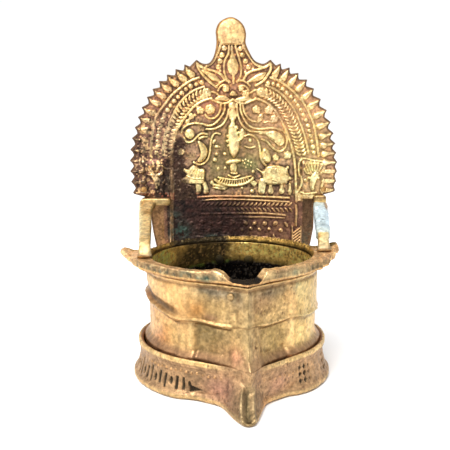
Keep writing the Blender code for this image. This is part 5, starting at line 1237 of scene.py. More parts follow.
def build_rim():
    k = 1.0
    th = thetas(int(900 * k), 0.0, 0.8, 70.0)
    out = rim_outer(th)
    phi = front_angle(th)
    sidew = (np.abs(np.cos(th)) > 0.5).astype(float)
    ragged = smooth(48, 62, phi) * smooth(101, 96, phi)
    over = out + ragged * (0.55 * np.sin(phi * 0.62) + 0.4 * np.sin(phi * 1.37 + 1.0)) + 0.22 * np.sin(phi * 0.9) * smooth(40, 60, np.abs(phi)) * (out > 45)
    lift = 3.6 * smooth(46.8, 55.9, out) * sidew
    curl = 1.7 * smooth(50.8, 55.9, out) * sidew
    top = notch_top(th, 44.0)
    low = np.full_like(th, RIM_BOTTOM) + 0.25 * smooth(20, 40, phi) * smooth(60, 45, phi) - 0.5 * smooth(-40, -55, phi) * smooth(-80, -65, phi)
    tall = np.clip((top - low) / (RIM_TOP - RIM_BOTTOM), 0.16, 1)

    def st(r, z):
        return np.stack([r, z], -1)
    t0 = np.minimum(44.9, over - 0.7)
    zd = low + 1.7 * tall + lift
    ze = np.maximum(top - 1.3 * tall + curl, zd + 0.06)
    pts = [st(np.full_like(th, 42.1), low), st(t0, low), st(over - 0.55, low + 0.55 * tall + lift),
           st(over - 0.0, zd), st(over - 0.05, ze), st(over - 0.35, np.maximum(top - 0.4 * tall + curl, ze + 0.05)),
           st(over - 0.9, np.maximum(top + curl, ze + 0.1)), st(np.maximum(np.minimum(over - 1.3, 50.6), 42.3), top),
           st(np.full_like(th, 41.7), top - 0.05), st(np.full_like(th, 40.95), top - 0.45 * tall),
           st(np.full_like(th, 40.5), np.minimum(top - 1.0 * tall, 61.0)),
           st(np.full_like(th, 40.45), np.minimum(59.05, top - 1.3 * tall)),
           st(np.full_like(th, 42.05), np.minimum(59.05, top - 1.3 * tall)), st(np.full_like(th, 42.05), low + 0.2)]
    counts = [int(c * k) + 1 for c in (5, 5, 5, 9, 4, 3, 7, 14, 3, 3, 3, 2, 2, 3)]
    rows = []
    for i, c in enumerate(counts):
        a, b = pts[i], pts[(i + 1) % len(pts)]
        for t in np.linspace(0, 1, c, endpoint=False):
            rows.append(a * (1 - t) + b * t)
    S = np.stack(rows, 1)                                            # (theta, station, 2)
    TH = np.broadcast_to(th[:, None], S.shape[:2])
    P = np.stack([S[..., 0] * np.cos(TH), S[..., 0] * np.sin(TH), S[..., 1]], -1)
    N = grid_normals(P, True, True)
    if volume_sign(P.reshape(-1, 3), grid_faces(*P.shape[:2], True, True)) < 0:
        N = -N
    PHI = front_angle(TH)
    OUTF = np.clip((S[..., 0] - 43.5) / 2.0, 0, 1)
    n1, n2, n3 = fbm(P, 6, 3, 100), fbm(P, 2.0, 3, 101), fbm(P, 0.8, 2, 102)
    d = 0.22 * n1 + 0.14 * n2 + 0.05 * n3
    # dents along the outer band, deepest at the left front
    arc = PHI / 5.4 + 0.25 * n1
    cellp = arc - np.round(arc)
    zc = 58.9 + 0.5 * np.sin(np.round(arc) * 2.1)
    dent = np.exp(-(cellp / 0.24) ** 2 - ((P[..., 2] - zc) / 1.35) ** 2) * OUTF
    where = smooth(-84, -62, PHI) * smooth(-6, -14, PHI) + 0.5 * smooth(20, 28, PHI) * smooth(80, 62, PHI)
    d -= 1.05 * dent * np.clip(where, 0, 1) * (0.6 + 0.4 * np.sin(np.round(arc) * 3.7 + 1))
    rag = smooth(55, 75, PHI) * smooth(115, 100, PHI) * OUTF
    d += rag * (0.45 * n2 + 0.3 * n3 - 0.1)
    pit = pits(P, 1.0, 104, 0.5)
    d -= 0.2 * pit * (0.4 + 0.6 * OUTF)
    d += smooth(97, 103, np.abs(PHI)) * smooth(59.6, 61.2, P[..., 2]) * (0.45 * n2 + 0.5 * n3 - 0.1)
    # a raised lip along the outer upper edge and a low ridge inside it
    toph = smooth(RIM_TOP - 1.2, RIM_TOP - 0.1, P[..., 2])
    d += toph * (0.22 * np.exp(-((S[..., 0] - over[:, None] + 1.0) / 0.5) ** 2) + 0.18 * np.exp(-((S[..., 0] - 41.9) / 0.5) ** 2))
    inner = S[..., 0] < 42.3
    d = np.where(inner & (P[..., 2] < 59.6), 0.0, d)
    d = np.where(P[..., 2] < RIM_BOTTOM + 0.12, np.minimum(d, 0.0) * 0.2, d)
    P = P + N * d[..., None]
    up = np.clip((P[..., 2] - RIM_BOTTOM) / (RIM_TOP - RIM_BOTTOM), 0, 1)
    P[..., 2] += tilt(P[..., 0]) * up * (P[..., 2] > 57.0)
    # colour
    q = np.stack([PHI, np.zeros_like(PHI), P[..., 2]], -1)
    col = mix(srgb(206, 166, 116), srgb(172, 132, 94), 0.5 + 0.6 * n1 + 0.4 * n2)
    face = smooth(RIM_BOTTOM + 1.2, RIM_BOTTOM + 2.1, P[..., 2]) * smooth(RIM_TOP - 0.4, RIM_TOP - 1.1, P[..., 2]) * OUTF * smooth(84, 70, np.abs(PHI))
    col = mix(col, mix(srgb(150, 124, 84), srgb(98, 80, 56), 0.5 + 0.8 * n2 + 0.4 * n3), 0.8 * face)
    col = mix(col, GOLD_PALE, 0.55 * smooth(0.1, 0.6, n2 + d) * (P[..., 2] > 57))
    col = mix(col, mix(srgb(92, 82, 60), TEAL, 0.30 + 0.3 * n2), 0.75 * dent * np.clip(where, 0, 1))
    col = mix(col, mix(GREY, TEAL, 0.35), 0.22 * smooth(0.1, 0.7, n1))
    col = mix(col, PLUM, 0.5 * smooth(0.2, 0.8, pit + 0.3 * n2))
    col = mix(col, mix(UMBER, OLIVE_DARK, 0.5), 0.4 * smooth(0.2, 0.75, -n2 + 0.2 * n1))
    # painted highlight and shade: a gold line along the lower ledge as its highlight, and the underside below it
    # darkened as painted shade
    under = smooth(RIM_BOTTOM + 1.4, RIM_BOTTOM + 0.3, P[..., 2])
    col = mix(col, GOLD, 0.5 * np.exp(-((P[..., 2] - RIM_BOTTOM - 1.2) / 0.5) ** 2) * OUTF)
    col = mix(col, srgb(150, 104, 60), 0.5 * under)
    bright = gauss(q, (18, 0, 60.5), (6, 9, 2)) + gauss(q, (-8, 0, 61), (4, 9, 1.5)) + 0.7 * gauss(q, (40, 0, 60), (9, 9, 3))
    col = mix(col, GOLD_PALE, 0.6 * np.clip(bright, 0, 1))
    teal = gauss(q, (-17, 0, 58), (3.5, 9, 1.6)) + 0.6 * gauss(q, (-30, 0, 60.5), (4, 9, 1)) + 0.7 * gauss(q, (38, 0, 59.5), (3, 9, 1.6))
    col = mix(col, TEAL, 0.6 * np.clip(teal, 0, 1))
    # painted black on the notch's ledge: soot, deepened to the shade of the gap into the bowl
    ledge = smooth(RIM_TOP - 2.6, RIM_TOP - 3.6, top)[:, None] * smooth(over[:, None] - 0.35, over[:, None] - 1.0, S[..., 0]) \
        * (np.abs(PHI - NOTCH_AZ) < 20) * smooth(RIM_BOTTOM + 0.3, RIM_BOTTOM + 0.7, P[..., 2])
    col = mix(col, BLACK, 0.95 * ledge)
    notch_face = smooth(RIM_TOP - 0.6, RIM_TOP - 1.6, top)[:, None] * smooth(-1.4, -0.4, P[..., 2] - top[:, None]) * (np.abs(PHI - NOTCH_AZ) < 20)
    col = mix(col, mix(GOLD, PINK, 0.4), 0.4 * notch_face * (1 - ledge))
    w4 = vnoise(P, 0.8, 105) + 0.7 * vnoise(P, 1.6, 106)
    col = col * (1 + 0.26 * w4)[..., None]
    rear = smooth(97, 103, np.abs(PHI))
    rcol = mix(srgb(196, 156, 84), srgb(126, 100, 48), 0.5 + 0.8 * n2)
    rcol = mix(rcol, srgb(232, 194, 122), 0.7 * smooth(0.1, 0.5, n3 + 0.4 * n2))
    rcol = mix(rcol, srgb(76, 58, 32), 0.7 * smooth(0.15, 0.5, -n3 + 0.3 * n2))
    sooty = smooth(3, -3, P[..., 0] + 4 * n1) * smooth(-35, -30, P[..., 0] + 4 * n2)
    rcol = mix(rcol, mix(BLACK * 1.3, OLIVE_DARK * 0.8, 0.35 + 0.7 * n2), 0.90 * sooty)
    rcol = mix(rcol, mix(OLIVE, GREY, 0.4), 0.5 * sooty * smooth(0.3, 0.6, vnoise(P, 0.8, 118)))
    rcol = mix(rcol, TEAL, 0.5 * smooth(42.0, 43.0, S[..., 0]) * smooth(2, -8, P[..., 0]) * smooth(-0.3, 0.3, n2))
    # dark pits on the right; then the whole rear ring is scaled by 0.86 as painted shade, since its top faces catch the
    # key light
    rcol = mix(rcol, srgb(64, 46, 24), 0.8 * smooth(0.15, 0.6, pits(P, 0.8, 119, 0.6) + 0.5 * n3) * smooth(2, 6, P[..., 0])) * 0.86
    ear = smooth(44.5, 47.0, S[..., 0]) * smooth(56, 68, np.abs(PHI)) * (1 - rear)
    col = col * (1 + ear * np.where(P[..., 0] < 0, 0.50, 0.28))[..., None]
    col = mix(col, rcol, rear)
    inside = smooth(41.6, 41.0, S[..., 0])
    icol = mix(srgb(196, 156, 80), srgb(120, 94, 42), 0.5 + 0.8 * n2)
    icol = mix(icol, srgb(70, 54, 30), 0.7 * smooth(0.15, 0.5, -n3))
    # painted shade: the rim's inside is darkened towards its lower edge, at the joint with the bowl
    icol = icol * (1 - 0.55 * smooth(60.6, 59.6, P[..., 2]))[..., None]
    icol = mix(icol, mix(BLACK * 1.3, OLIVE_DARK * 0.8, 0.35 + 0.7 * n2), 0.96 * sooty * rear)
    col = mix(col, icol, 0.95 * inside * (P[..., 2] > 57.5))
    # painted shade: the outer top of the rear ring is darkened where it faces the key light
    col = col * (1 - 0.3 * rear * (S[..., 0] > 42.3) * (P[..., 2] > 60.5))[..., None]
    # painted black on the notch floor: soot, deepened to the shade of the gap into the bowl
    floor = smooth(14, 11, np.abs(PHI - NOTCH_AZ)) * smooth(over[:, None] - 0.7, over[:, None] - 1.5, S[..., 0]) * smooth(RIM_TOP - 2.6, RIM_TOP - 3.4, P[..., 2])
    col = mix(col, BLACK * 0.6, 0.97 * floor)
    gloss = np.clip(0.5 + 0.25 * n1 - 0.4 * pit, 0, 1) * (1 - floor)
    return P, {"Col": np.clip(col, 0.002, 0.95), "gloss": gloss}


# ---------------------------------------------------------------------- plinth
def plinth_plan(theta, radius, z):
    phi = np.abs(front_angle(theta) - BEAK_AZ)
    up = z / LIP_Z
    reach = BEAK_REACH * np.where(up > 0.12, 1.0 - 0.62 * smooth(0.0, 1.0, 0.15 + 0.85 * up), 1.0 - 0.3 * up)
    width = 7.7 + 1.9 * up
    beak = np.exp(-(phi / width) ** 2.0)
    waist = -2.6 * np.exp(-((phi - 27.0) / 9.0) ** 2) * (1.0 - 0.6 * up)
    w = smooth(0.0, 10.0, z)
    keep = pocket_plan(theta, radius - COLLAR_WALL, z) + COLLAR_WALL * w - 1.2 * (1 - w)
    return np.maximum(radius + reach * beak + waist, keep), beak


def pocket_plan(theta, r, z):
    return bowl_plan(theta, r, np.maximum(keel_radius(z) + 1.0, r + 1.0))


def build_plinth():
    k = 1.0
    th = thetas(int(900 * k), BEAK_AZ, 2.2, 22.0)
    prof = [(0.0, 0.8), (0.0, 30.0), (0.0, 47.6), (0.25, 49.1), (0.9, BASE_R), (2.4, BASE_R), (3.2, 49.3), (3.9, 48.5), (6.5, 47.7), (10.0, 46.8),
            (13.5, 46.5), (15.6, 46.6), (16.5, 47.1), (17.3, LIP_R), (18.7, LIP_R + 0.05), (LIP_Z, LIP_R - 0.5), (LIP_Z - 0.15, LIP_R - 1.3)]
    counts = [4, 5, 4, 4, 5, 4, 4, 10, 14, 14, 9, 5, 5, 5, 5, 3]
    counts = [max(2, int(c * k)) for c in counts]
    outer = profile_points([(r, z) for z, r in prof], counts)
    TH, S = np.meshgrid(th, np.arange(len(outer)), indexing="ij")
    R, Z = outer[S, 0], outer[S, 1]
    plan_full, beak = plinth_plan(TH, np.maximum(R, 46.0), Z)
    plan_lip, _ = plinth_plan(TH, np.full_like(R, LIP_R), Z)
    plan = np.where(R > 45.9, plan_full, plan_full * (R / 46.0))
    # round the keel the wall climbs out to meet the bowl's spread foot, with no shelf
    kp = front_angle(TH) - KEEL_AZ
    skin = bowl_plan(TH, DRUM_R - 0.95, KEEL_LOW_R - 0.95) + 2.7 + 1.3 * np.exp(-(kp / 3.4) ** 2) + 2.9 * np.exp(-(kp / 8.0) ** 2) + 0.25
    climb = smooth(5.0, 16.5, Z) * np.exp(-(np.abs(kp) / 12.5) ** 4.0) * (R > 45.9)
    plan = plan + (np.maximum(skin, plan * 0.995) - plan) * climb
    Po = np.stack([plan * np.cos(TH), plan * np.sin(TH), Z], -1)
    prof_in = [(LIP_IN_R + 0.35, LIP_Z - 0.75), (LIP_IN_R, LIP_Z - 1.2), (LIP_IN_R - 0.2, 14.0), (LIP_IN_R - 0.6, 7.0), (LIP_IN_R - 1.6, FLOOR_T),
               (25.0, FLOOR_T), (0.8, FLOOR_T)]
    counts_in = [2, 10, 5, 5, 4, 3]
    inner = profile_points(prof_in, counts_in)
    TI, SI = np.meshgrid(th, np.arange(len(inner)), indexing="ij")
    Ri, Zi = inner[SI, 0], inner[SI, 1]
    full = pocket_plan(TI, np.maximum(Ri, 43.4), Zi)
    plan_i = np.where(Ri > 43.3, full, full * Ri / 43.4)
    Pi = np.stack([plan_i * np.cos(TI), plan_i * np.sin(TI), Zi], -1)

    N = grid_normals(Po, True, False)
    if (N[:, len(outer) // 2] * np.stack([np.cos(th), np.sin(th), 0 * th], -1)).sum() < 0:
        N = -N
    phi = front_angle(TH)
    bphi = phi - BEAK_AZ
    n1, n2, n3 = fbm(Po, 8, 3, 110), fbm(Po, 2.4, 3, 111), fbm(Po, 0.9, 2, 112)
    wall = smooth(0.05, 0.5, Z)
    d = (0.2 * n1 + 0.14 * n2 + 0.05 * n3)
    # the band, with one rib along its top
    band = smooth(3.6, 4.4, Z) * smooth(16.4, 15.6, Z)
    d += 0.30 * np.exp(-((Z - 15.9) / 0.5) ** 2) * (1 - beak)
    # bead row below the lip, from the left round to the beak
    bead_on = smooth(-64, -56, phi) * smooth(-5, -9, phi) + 0.6 * smooth(12, 16, phi) * smooth(60, 50, phi)
    ba = phi / 3.6
    bc = (ba - np.round(ba)) * 3.6 * 47 * math.pi / 180
    bz = 13.4 + 0.012 * (phi + 35) - 0.0006 * (phi + 35) ** 2 + 0.25 * np.sin(np.round(ba) * 1.9)
    bead = np.clip(1 - (bc ** 2 + (Z - bz) ** 2) / 0.85 ** 2, 0, 1) ** 0.5
    d += 0.75 * bead * bead_on
    # plain oblong sinkings with every third one oval, a generic border
    ob_on = smooth(-88, -80, phi) * smooth(-24, -28, phi)
    oa = phi / 4.3 + 0.15
    oc = (oa - np.round(oa)) * 4.3 * 47 * math.pi / 180
    oz = 7.4 + 0.5 * np.sin(np.round(oa) * 2.7)
    oblong = np.clip(1.25 - np.maximum(np.abs(oc) / 0.72, np.abs(Z - oz) / (3.3 + 0.7 * np.sin(np.round(oa) * 1.9))), 0, 0.5) * 2
    oval = np.clip(1.2 - np.hypot(oc / 1.0, (Z - oz) / 1.8), 0, 0.6) / 0.6
    odd = (np.round(oa).astype(int) % 3 == 0)
    sink = np.where(odd, oval, oblong) * ob_on
    wedge = smooth(-27.5, -26.0, phi) * smooth(1.7 * smooth(-17.0, -26.5, phi) + 0.15, 1.7 * smooth(-17.0, -26.5, phi) - 0.25, np.abs(Z - 5.6)) * smooth(-16.5, -18.5, phi)
    sink = np.maximum(sink, wedge)
    right_on = 1.3 * np.exp(-((phi - 45.5) / 4.4) ** 2) + np.exp(-((phi - 73) / 3.0) ** 2) + 0.4 * np.exp(-((phi - 30) / 2.0) ** 2)
    diamond = np.clip(1.2 - (np.abs((phi / 4.2 - np.round(phi / 4.2)) * 4.2 * 0.82) / 1.3 + np.abs((Z - 9.3) / 3.2 - np.round((Z - 9.3) / 3.2)) * 3.2 / 1.5), 0, 0.7) / 0.7
    sink_r = diamond * np.clip(right_on, 0, 1) * smooth(3.8, 5.0, Z) * smooth(15.2, 14.0, Z)
    pattern = np.clip(sink + sink_r, 0, 1)
    d -= 1.0 * pattern * band
    # little zig-zag beside the beak
    zz = np.abs(((Z - 3.0) / 2.6) % 1.0 - 0.5) * 4.0
    zig = np.exp(-((bphi + 7.6 - zz * 0.55) / 0.55) ** 2) * smooth(3.4, 5, Z) * smooth(14.5, 12.5, Z)
    d += 0.45 * zig
    # two ridges down the beak with a groove between, and the keel's spread foot
    arc_mm = (bphi - (KEEL_AZ - BEAK_AZ) * smooth(4.0, 17.0, Z)) * np.pi / 180 * plan
    ridges = np.exp(-((np.abs(arc_mm) - 2.6) / 0.75) ** 2) * smooth(0.4, 2.0, Z) * smooth(13.5, 9.5, Z)
    groove = np.exp(-(arc_mm / 1.5) ** 2) * smooth(1.0, 2.6, Z) * smooth(13.0, 9.0, Z)
    d += 0.95 * ridges - 1.0 * groove
    up_ridge = np.exp(-(arc_mm / 2.4) ** 2) * smooth(8.5, 12.5, Z)
    d += 0.35 * up_ridge * smooth(17.5, 14.0, Z)
    cord = np.exp(-((Z - 18.0) / 0.9) ** 2) * (0.5 + 0.5 * np.sin(phi * 7.5)) * smooth(-44, -36, phi) * smooth(-8, -12, phi)
    d += 0.18 * cord
    pit = pits(Po, 1.0, 113, 0.52)
    d -= 0.2 * pit * wall + 0.3 * pits(Po, 2.2, 114, 0.7) * wall
    d *= wall * smooth(44.0, 47.0, R)
    lipfade = smooth(LIP_R - 1.6, LIP_R - 0.9, R)
    d = np.where(Z > LIP_Z - 0.2, d * lipfade * 0.6, d)
    Po = Po + N * d[..., None]
    Po[..., 2] = np.maximum(Po[..., 2], 0.0)
    P = np.concatenate([Po, Pi], 1)
    # colour
    q = np.stack([phi, np.zeros_like(phi), Z], -1)
    w4 = vnoise(Po, 0.8, 115) + 0.7 * vnoise(Po, 1.6, 116)

    def spot(a, z, ra, rz):
        return gauss(q, (a, 0, z), (ra, 9, rz))
    bandc = mix(srgb(188, 150, 108), srgb(142, 112, 80), 0.5 + 0.6 * n1 + 0.5 * n2)
    bandc = mix(bandc, srgb(176, 126, 108), 0.7 * np.clip(spot(-8, 8, 8, 6) + 0.6 * spot(24, 9, 8, 5), 0, 1))
    edge = mix(GOLD_PALE, GOLD, 0.4 + 0.5 * n1 + 0.3 * n2)
    frontal = np.exp(-((phi - 1.0) / 12.0) ** 2)
    lipm = smooth(16.9, 17.8, Z) * smooth(LIP_R - 1.5, LIP_R - 0.9, R) * (1 - 0.95 * np.exp(-((phi - 3.0) / 13.0) ** 4))
    foot = smooth(3.0, 2.0, Z)
    col = mix(bandc, edge * 0.86, 0.85 * lipm + 0.55 * foot)
    col = mix(col, mix(srgb(150, 110, 78), srgb(112, 80, 58), 0.5 + 0.6 * n2), 0.85 * (R < LIP_R - 1.1) * (Z > 17.5))
    col = mix(col, mix(GOLD, PINK, 0.35), 0.6 * bead * bead_on)
    col = mix(col, mix(srgb(38, 40, 30), BLACK, 0.4 + 0.4 * n2), 0.92 * smooth(0.15, 0.6, pattern * band))
    col = mix(col, srgb(84, 60, 46), 0.5 * smooth(0.1, 0.7, pit + 0.4 * n2))
    col = mix(col, mix(srgb(92, 82, 52), srgb(60, 52, 32), 0.5 + 0.8 * n2), 0.85 * np.clip(groove + 0.4 * spot(BEAK_AZ, 3, 2.2, 3.5), 0, 1))
    col = mix(col, mix(srgb(190, 166, 122), srgb(138, 116, 80), 0.4 + 0.7 * n2), 0.75 * np.clip(ridges + 0.8 * up_ridge, 0, 1))
    col = mix(col, PLUM, 0.45 * np.clip(spot(-3.5, 10, 2.2, 6), 0, 1) + 0.25 * spot(11, 13, 3, 3))
    col = mix(col, ORANGE, 0.4 * np.clip(spot(14, 1.5, 5, 2.0), 0, 1))
    col = mix(col, mix(GREY, TEAL, 0.4), 0.3 * smooth(0.3, 0.8, n2) * lipm * smooth(-20, -60, phi))
    col = mix(col, mix(GOLD_DEEP, OLIVE, 0.5 + 0.5 * n2), 0.35 * (np.abs(phi) > 85))
    col = mix(col, mix(srgb(134, 112, 76), srgb(86, 74, 48), 0.5 + 0.6 * n2), 0.62 * beak * smooth(14, 8, Z) * (1 - 0.7 * ridges) * smooth(0.5, 2.0, Z))
    col = mix(col, mix(srgb(184, 146, 104), srgb(146, 112, 80), 0.5 + 0.7 * n2), 0.7 * smooth(12.0, 16.0, Z) * np.exp(-(kp / 12.0) ** 2))
    col = col * (1 + 0.16 * spot(32, 9, 22, 6) - 0.07 * spot(-18, 8, 12, 6) - 0.16 * beak * smooth(14, 8, Z))[..., None]
    col = col * (1 + 0.24 * w4)[..., None]
    col = mix(col, mix(UMBER, OLIVE_DARK, 0.5 + 0.5 * n2), 0.7 * (Z < 0.05))
    ci = np.broadcast_to(mix(UMBER, BLACK, 0.4 + 0.3 * fbm(Pi, 3, 2, 120)), Pi.shape)
    ci = mix(ci, srgb(170, 124, 88), 0.9 * smooth(12.0, 17.5, Zi))
    gloss = np.clip(0.5 + 0.25 * n1 - 0.5 * pit - 0.5 * pattern, 0, 1)
    return P, {"Col": np.clip(np.concatenate([col, ci], 1), 0.002, 0.95),
               "gloss": np.concatenate([gloss, np.full(Zi.shape, 0.2)], 1)}


# ---------------------------------------------------------------------- struts
def strut_stations(side):
    fx, fy = (-43.2, -8.5) if side < 0 else (46.4, -1.6)
    ex, top = (-46.0 if side < 0 else 50.2), 80.6
    dx = ex - fx

    def rise(y):
        return 66.8 + 13.8 * (y - fy - 6) / (42 - fy - 6)
    if side < 0:
        tail = [(-45.4, 28.0, rise(28) - 0.3, 6.5, 4.4), (-45.2, 35.0, rise(35) - 0.1, 7.5, 4.4), (-44.8, 40.0, rise(40) + 0.1, 9.0, 4.4),
                (-44.6, 42.2, 80.9, 9.4, 4.2)]
    else:
        tail = [(fx + dx * 0.85, 34.5, rise(34.5) - 0.1, 6.8, 4.4), (ex, 41.6, 80.4, 6.6, 4.0)]
    pts = [(fx, fy, RIM_TOP + 0.3 + tilt(fx), 7.4, 6.8), (fx, fy + 1.4, RIM_TOP + 2.4, 5.9, 5.6),
           (fx + dx * 0.12, fy + 6.0, 66.8, 5.6, 4.8),
           (fx + dx * 0.50, 18.0, rise(18) - 0.3, 6.5, 4.4)] + tail
    return spline(pts, per=14)


def bar_sections(stations, count, rounding=1.0, grow=0.0, power=5.0):
    c = stations[:, :3]
    t = np.gradient(c, axis=0)
    t[0] = (0, 0.1, 1.0)
    t /= np.linalg.norm(t, axis=1, keepdims=True)
    xa = np.array([1.0, 0, 0]) - t * t[:, :1]
    xa /= np.linalg.norm(xa, axis=1, keepdims=True)
    na = np.cross(t, xa)
    a = np.linspace(0, math.tau, count, endpoint=False)
    ca, sa = np.cos(a), np.sin(a)
    u = np.sign(ca) * np.abs(ca) ** (2 / power)
    v = np.sign(sa) * np.abs(sa) ** (2 / power)
    w = stations[:, 3] / 2 + grow
    d = stations[:, 4] / 2 + grow
    P = (c[:, None] + xa[:, None] * (u[None, :, None] * w[:, None, None])
         + na[:, None] * (v[None, :, None] * d[:, None, None]))
    return P


def build_strut(side, name):
    k = 1.0
    st = resample3(strut_stations(side), 0.45 / k)
    P = bar_sections(st, int(64 * k), power=4.5)
    P = np.transpose(P, (1, 0, 2))                                   # (around, along)
    N = grid_normals(P, True, False)
    c = st[None, :, :3]
    if (N * (P - c)).sum() < 0:
        N = -N
    n1, n2, n3 = fbm(P, 6, 3, 130 + side), fbm(P, 2.0, 3, 132), fbm(P, 0.8, 2, 133)
    pit = pits(P, 1.1, 134, 0.55)
    d = 0.22 * n1 + 0.12 * n2 + 0.04 * n3 - 0.22 * pit
    along = np.linspace(0, 1, P.shape[1])[None]
    d = d * smooth(0.0, 0.03, along)
    P = P + N * d[..., None]
    P[..., 2] = np.maximum(P[..., 2], RIM_TOP + 0.02 + tilt(P[..., 0]))
    if side < 0:                                                     # rounded outer shoulder
        ox, oz = np.minimum(P[..., 0] + 45.9, 0), np.maximum(P[..., 2] - 79.3, 0)
        far = np.hypot(ox, oz)
        pull = np.where((ox < 0) & (oz > 0) & (far > 3.4), 3.4 / np.maximum(far, 1e-6), 1.0)
        P[..., 0] = np.where(pull < 1, -45.9 + ox * pull, P[..., 0])
        P[..., 2] = np.where(pull < 1, 79.3 + oz * pull, P[..., 2])
    return P, d, pit, n1, n2, along


def resample3(p, step):
    d = np.concatenate([[0], np.cumsum(np.linalg.norm(np.diff(p[:, :3], axis=0), axis=1))])
    n = int(d[-1] / step) + 1
    s = np.linspace(0, d[-1], n)
    return np.stack([np.interp(s, d, p[:, k]) for k in range(p.shape[1])], -1)


def strut_colour(P, pit, n1, n2, along, side):
    col = mix(GOLD_PALE, GOLD, 0.35 + 0.6 * n1 + 0.4 * n2)
    col = mix(col, srgb(168, 120, 62), 0.6 * smooth(0.1, 0.7, n2 + 0.3 * n1))
    col = mix(col, srgb(120, 84, 50), 0.6 * pit)
    col = mix(col, srgb(150, 150, 130), 0.30 * smooth(0.2, 0.7, fbm(P, 3.0, 2, 139)))
    col = mix(col, PLUM, 0.5 * smooth(0.06, 0.0, along))
    w4 = vnoise(P, 0.8, 140) + 0.7 * vnoise(P, 1.6, 141)
    col = col * (0.98 * (1 + 0.22 * w4))[..., None] * np.array([1.0, 1.12, 1.26])
    # painted shade: the bar is darkened by up to 10 % near its foot, whose upward face catches the key light
    col = col * (1 - 0.10 * smooth(0.14, 0.06, along))[..., None] if np.ndim(along) > 1 else col
    return np.clip(col, 0.002, 0.95)


# ------------------------------------------------------------------- materials
def patina(name, rough=(0.62, 0.30), metal=0.88, bump=0.25, speck=0.35, speck_colour=(0.05, 0.035, 0.02)):
    """Old brass: painted colour layer, fine grain, dark specks, gloss where rubbed."""
    mat = bpy.data.materials.new(name)
    mat.use_nodes = True
    nt = mat.node_tree
    N, L = nt.nodes, nt.links
    bsdf = N["Principled BSDF"]
    col = N.new("ShaderNodeAttribute")
    col.attribute_name = "Col"
    glo = N.new("ShaderNodeAttribute")
    glo.attribute_name = "gloss"
    tex = N.new("ShaderNodeTexCoord")

    def noise(scale, detail, rough_=0.6):
        n = N.new("ShaderNodeTexNoise")
        n.inputs["Scale"].default_value = scale
        n.inputs["Detail"].default_value = detail
        n.inputs["Roughness"].default_value = rough_
        L.new(tex.outputs["Object"], n.inputs["Vector"])
        return n

    def ramp(src, a, b, lo=0.0, hi=1.0):
        m = N.new("ShaderNodeMapRange")
        m.interpolation_type = "SMOOTHSTEP"
        m.inputs["From Min"].default_value = a
        m.inputs["From Max"].default_value = b
        m.inputs["To Min"].default_value = lo
        m.inputs["To Max"].default_value = hi
        L.new(src, m.inputs["Value"])
        return m.outputs["Result"]
    fine = noise(1400, 4)
    mid = noise(420, 5)
    grain = noise(3200, 3)
    # brightness variation of the painted colour
    bright = ramp(mid.outputs["Fac"], 0.3, 0.7, 0.72, 1.22)
    mul = N.new("ShaderNodeVectorMath")
    mul.operation = "SCALE"
    L.new(col.outputs["Color"], mul.inputs[0])
    L.new(bright, mul.inputs["Scale"])
    # dark specks
    dark = N.new("ShaderNodeMix")
    dark.data_type = "RGBA"
    dark.inputs[7].default_value = (*speck_colour, 1)
    L.new(mul.outputs["Vector"], dark.inputs[6])
    L.new(ramp(fine.outputs["Fac"], 0.56, 0.72, 0.0, speck), dark.inputs[0])
    # pale rubbed flecks
    pale = N.new("ShaderNodeMix")
    pale.data_type = "RGBA"
    pale.blend_type = "SCREEN"
    pale.inputs[7].default_value = (0.34, 0.26, 0.14, 1)
    L.new(dark.outputs[2], pale.inputs[6])
    lum = N.new("ShaderNodeRGBToBW")
    L.new(dark.outputs[2], lum.inputs[0])
    rub = N.new("ShaderNodeMath")
    rub.operation = "MULTIPLY"
    L.new(ramp(grain.outputs["Fac"], 0.58, 0.74, 0.0, 0.4), rub.inputs[0])
    L.new(ramp(lum.outputs[0], 0.003, 0.022), rub.inputs[1])
    L.new(rub.outputs[0], pale.inputs[0])
    L.new(pale.outputs[2], bsdf.inputs["Base Color"])
    # roughness falls where the metal is rubbed
    r = N.new("ShaderNodeMapRange")
    r.inputs["To Min"].default_value = rough[0]
    r.inputs["To Max"].default_value = rough[1]
    L.new(glo.outputs["Fac"], r.inputs["Value"])
    radd = N.new("ShaderNodeMath")
    radd.operation = "ADD"
    L.new(r.outputs["Result"], radd.inputs[0])
    L.new(ramp(fine.outputs["Fac"], 0.3, 0.7, -0.08, 0.12), radd.inputs[1])
    L.new(radd.outputs[0], bsdf.inputs["Roughness"])
    bsdf.inputs["Metallic"].default_value = metal
    b1 = N.new("ShaderNodeBump")
    b1.inputs["Strength"].default_value = bump
    b1.inputs["Distance"].default_value = 0.0003
    hsum = N.new("ShaderNodeMath")
    hsum.operation = "ADD"
    L.new(fine.outputs["Fac"], hsum.inputs[0])
    L.new(mid.outputs["Fac"], hsum.inputs[1])
    L.new(hsum.outputs[0], b1.inputs["Height"])
    L.new(b1.outputs["Normal"], bsdf.inputs["Normal"])
    return mat


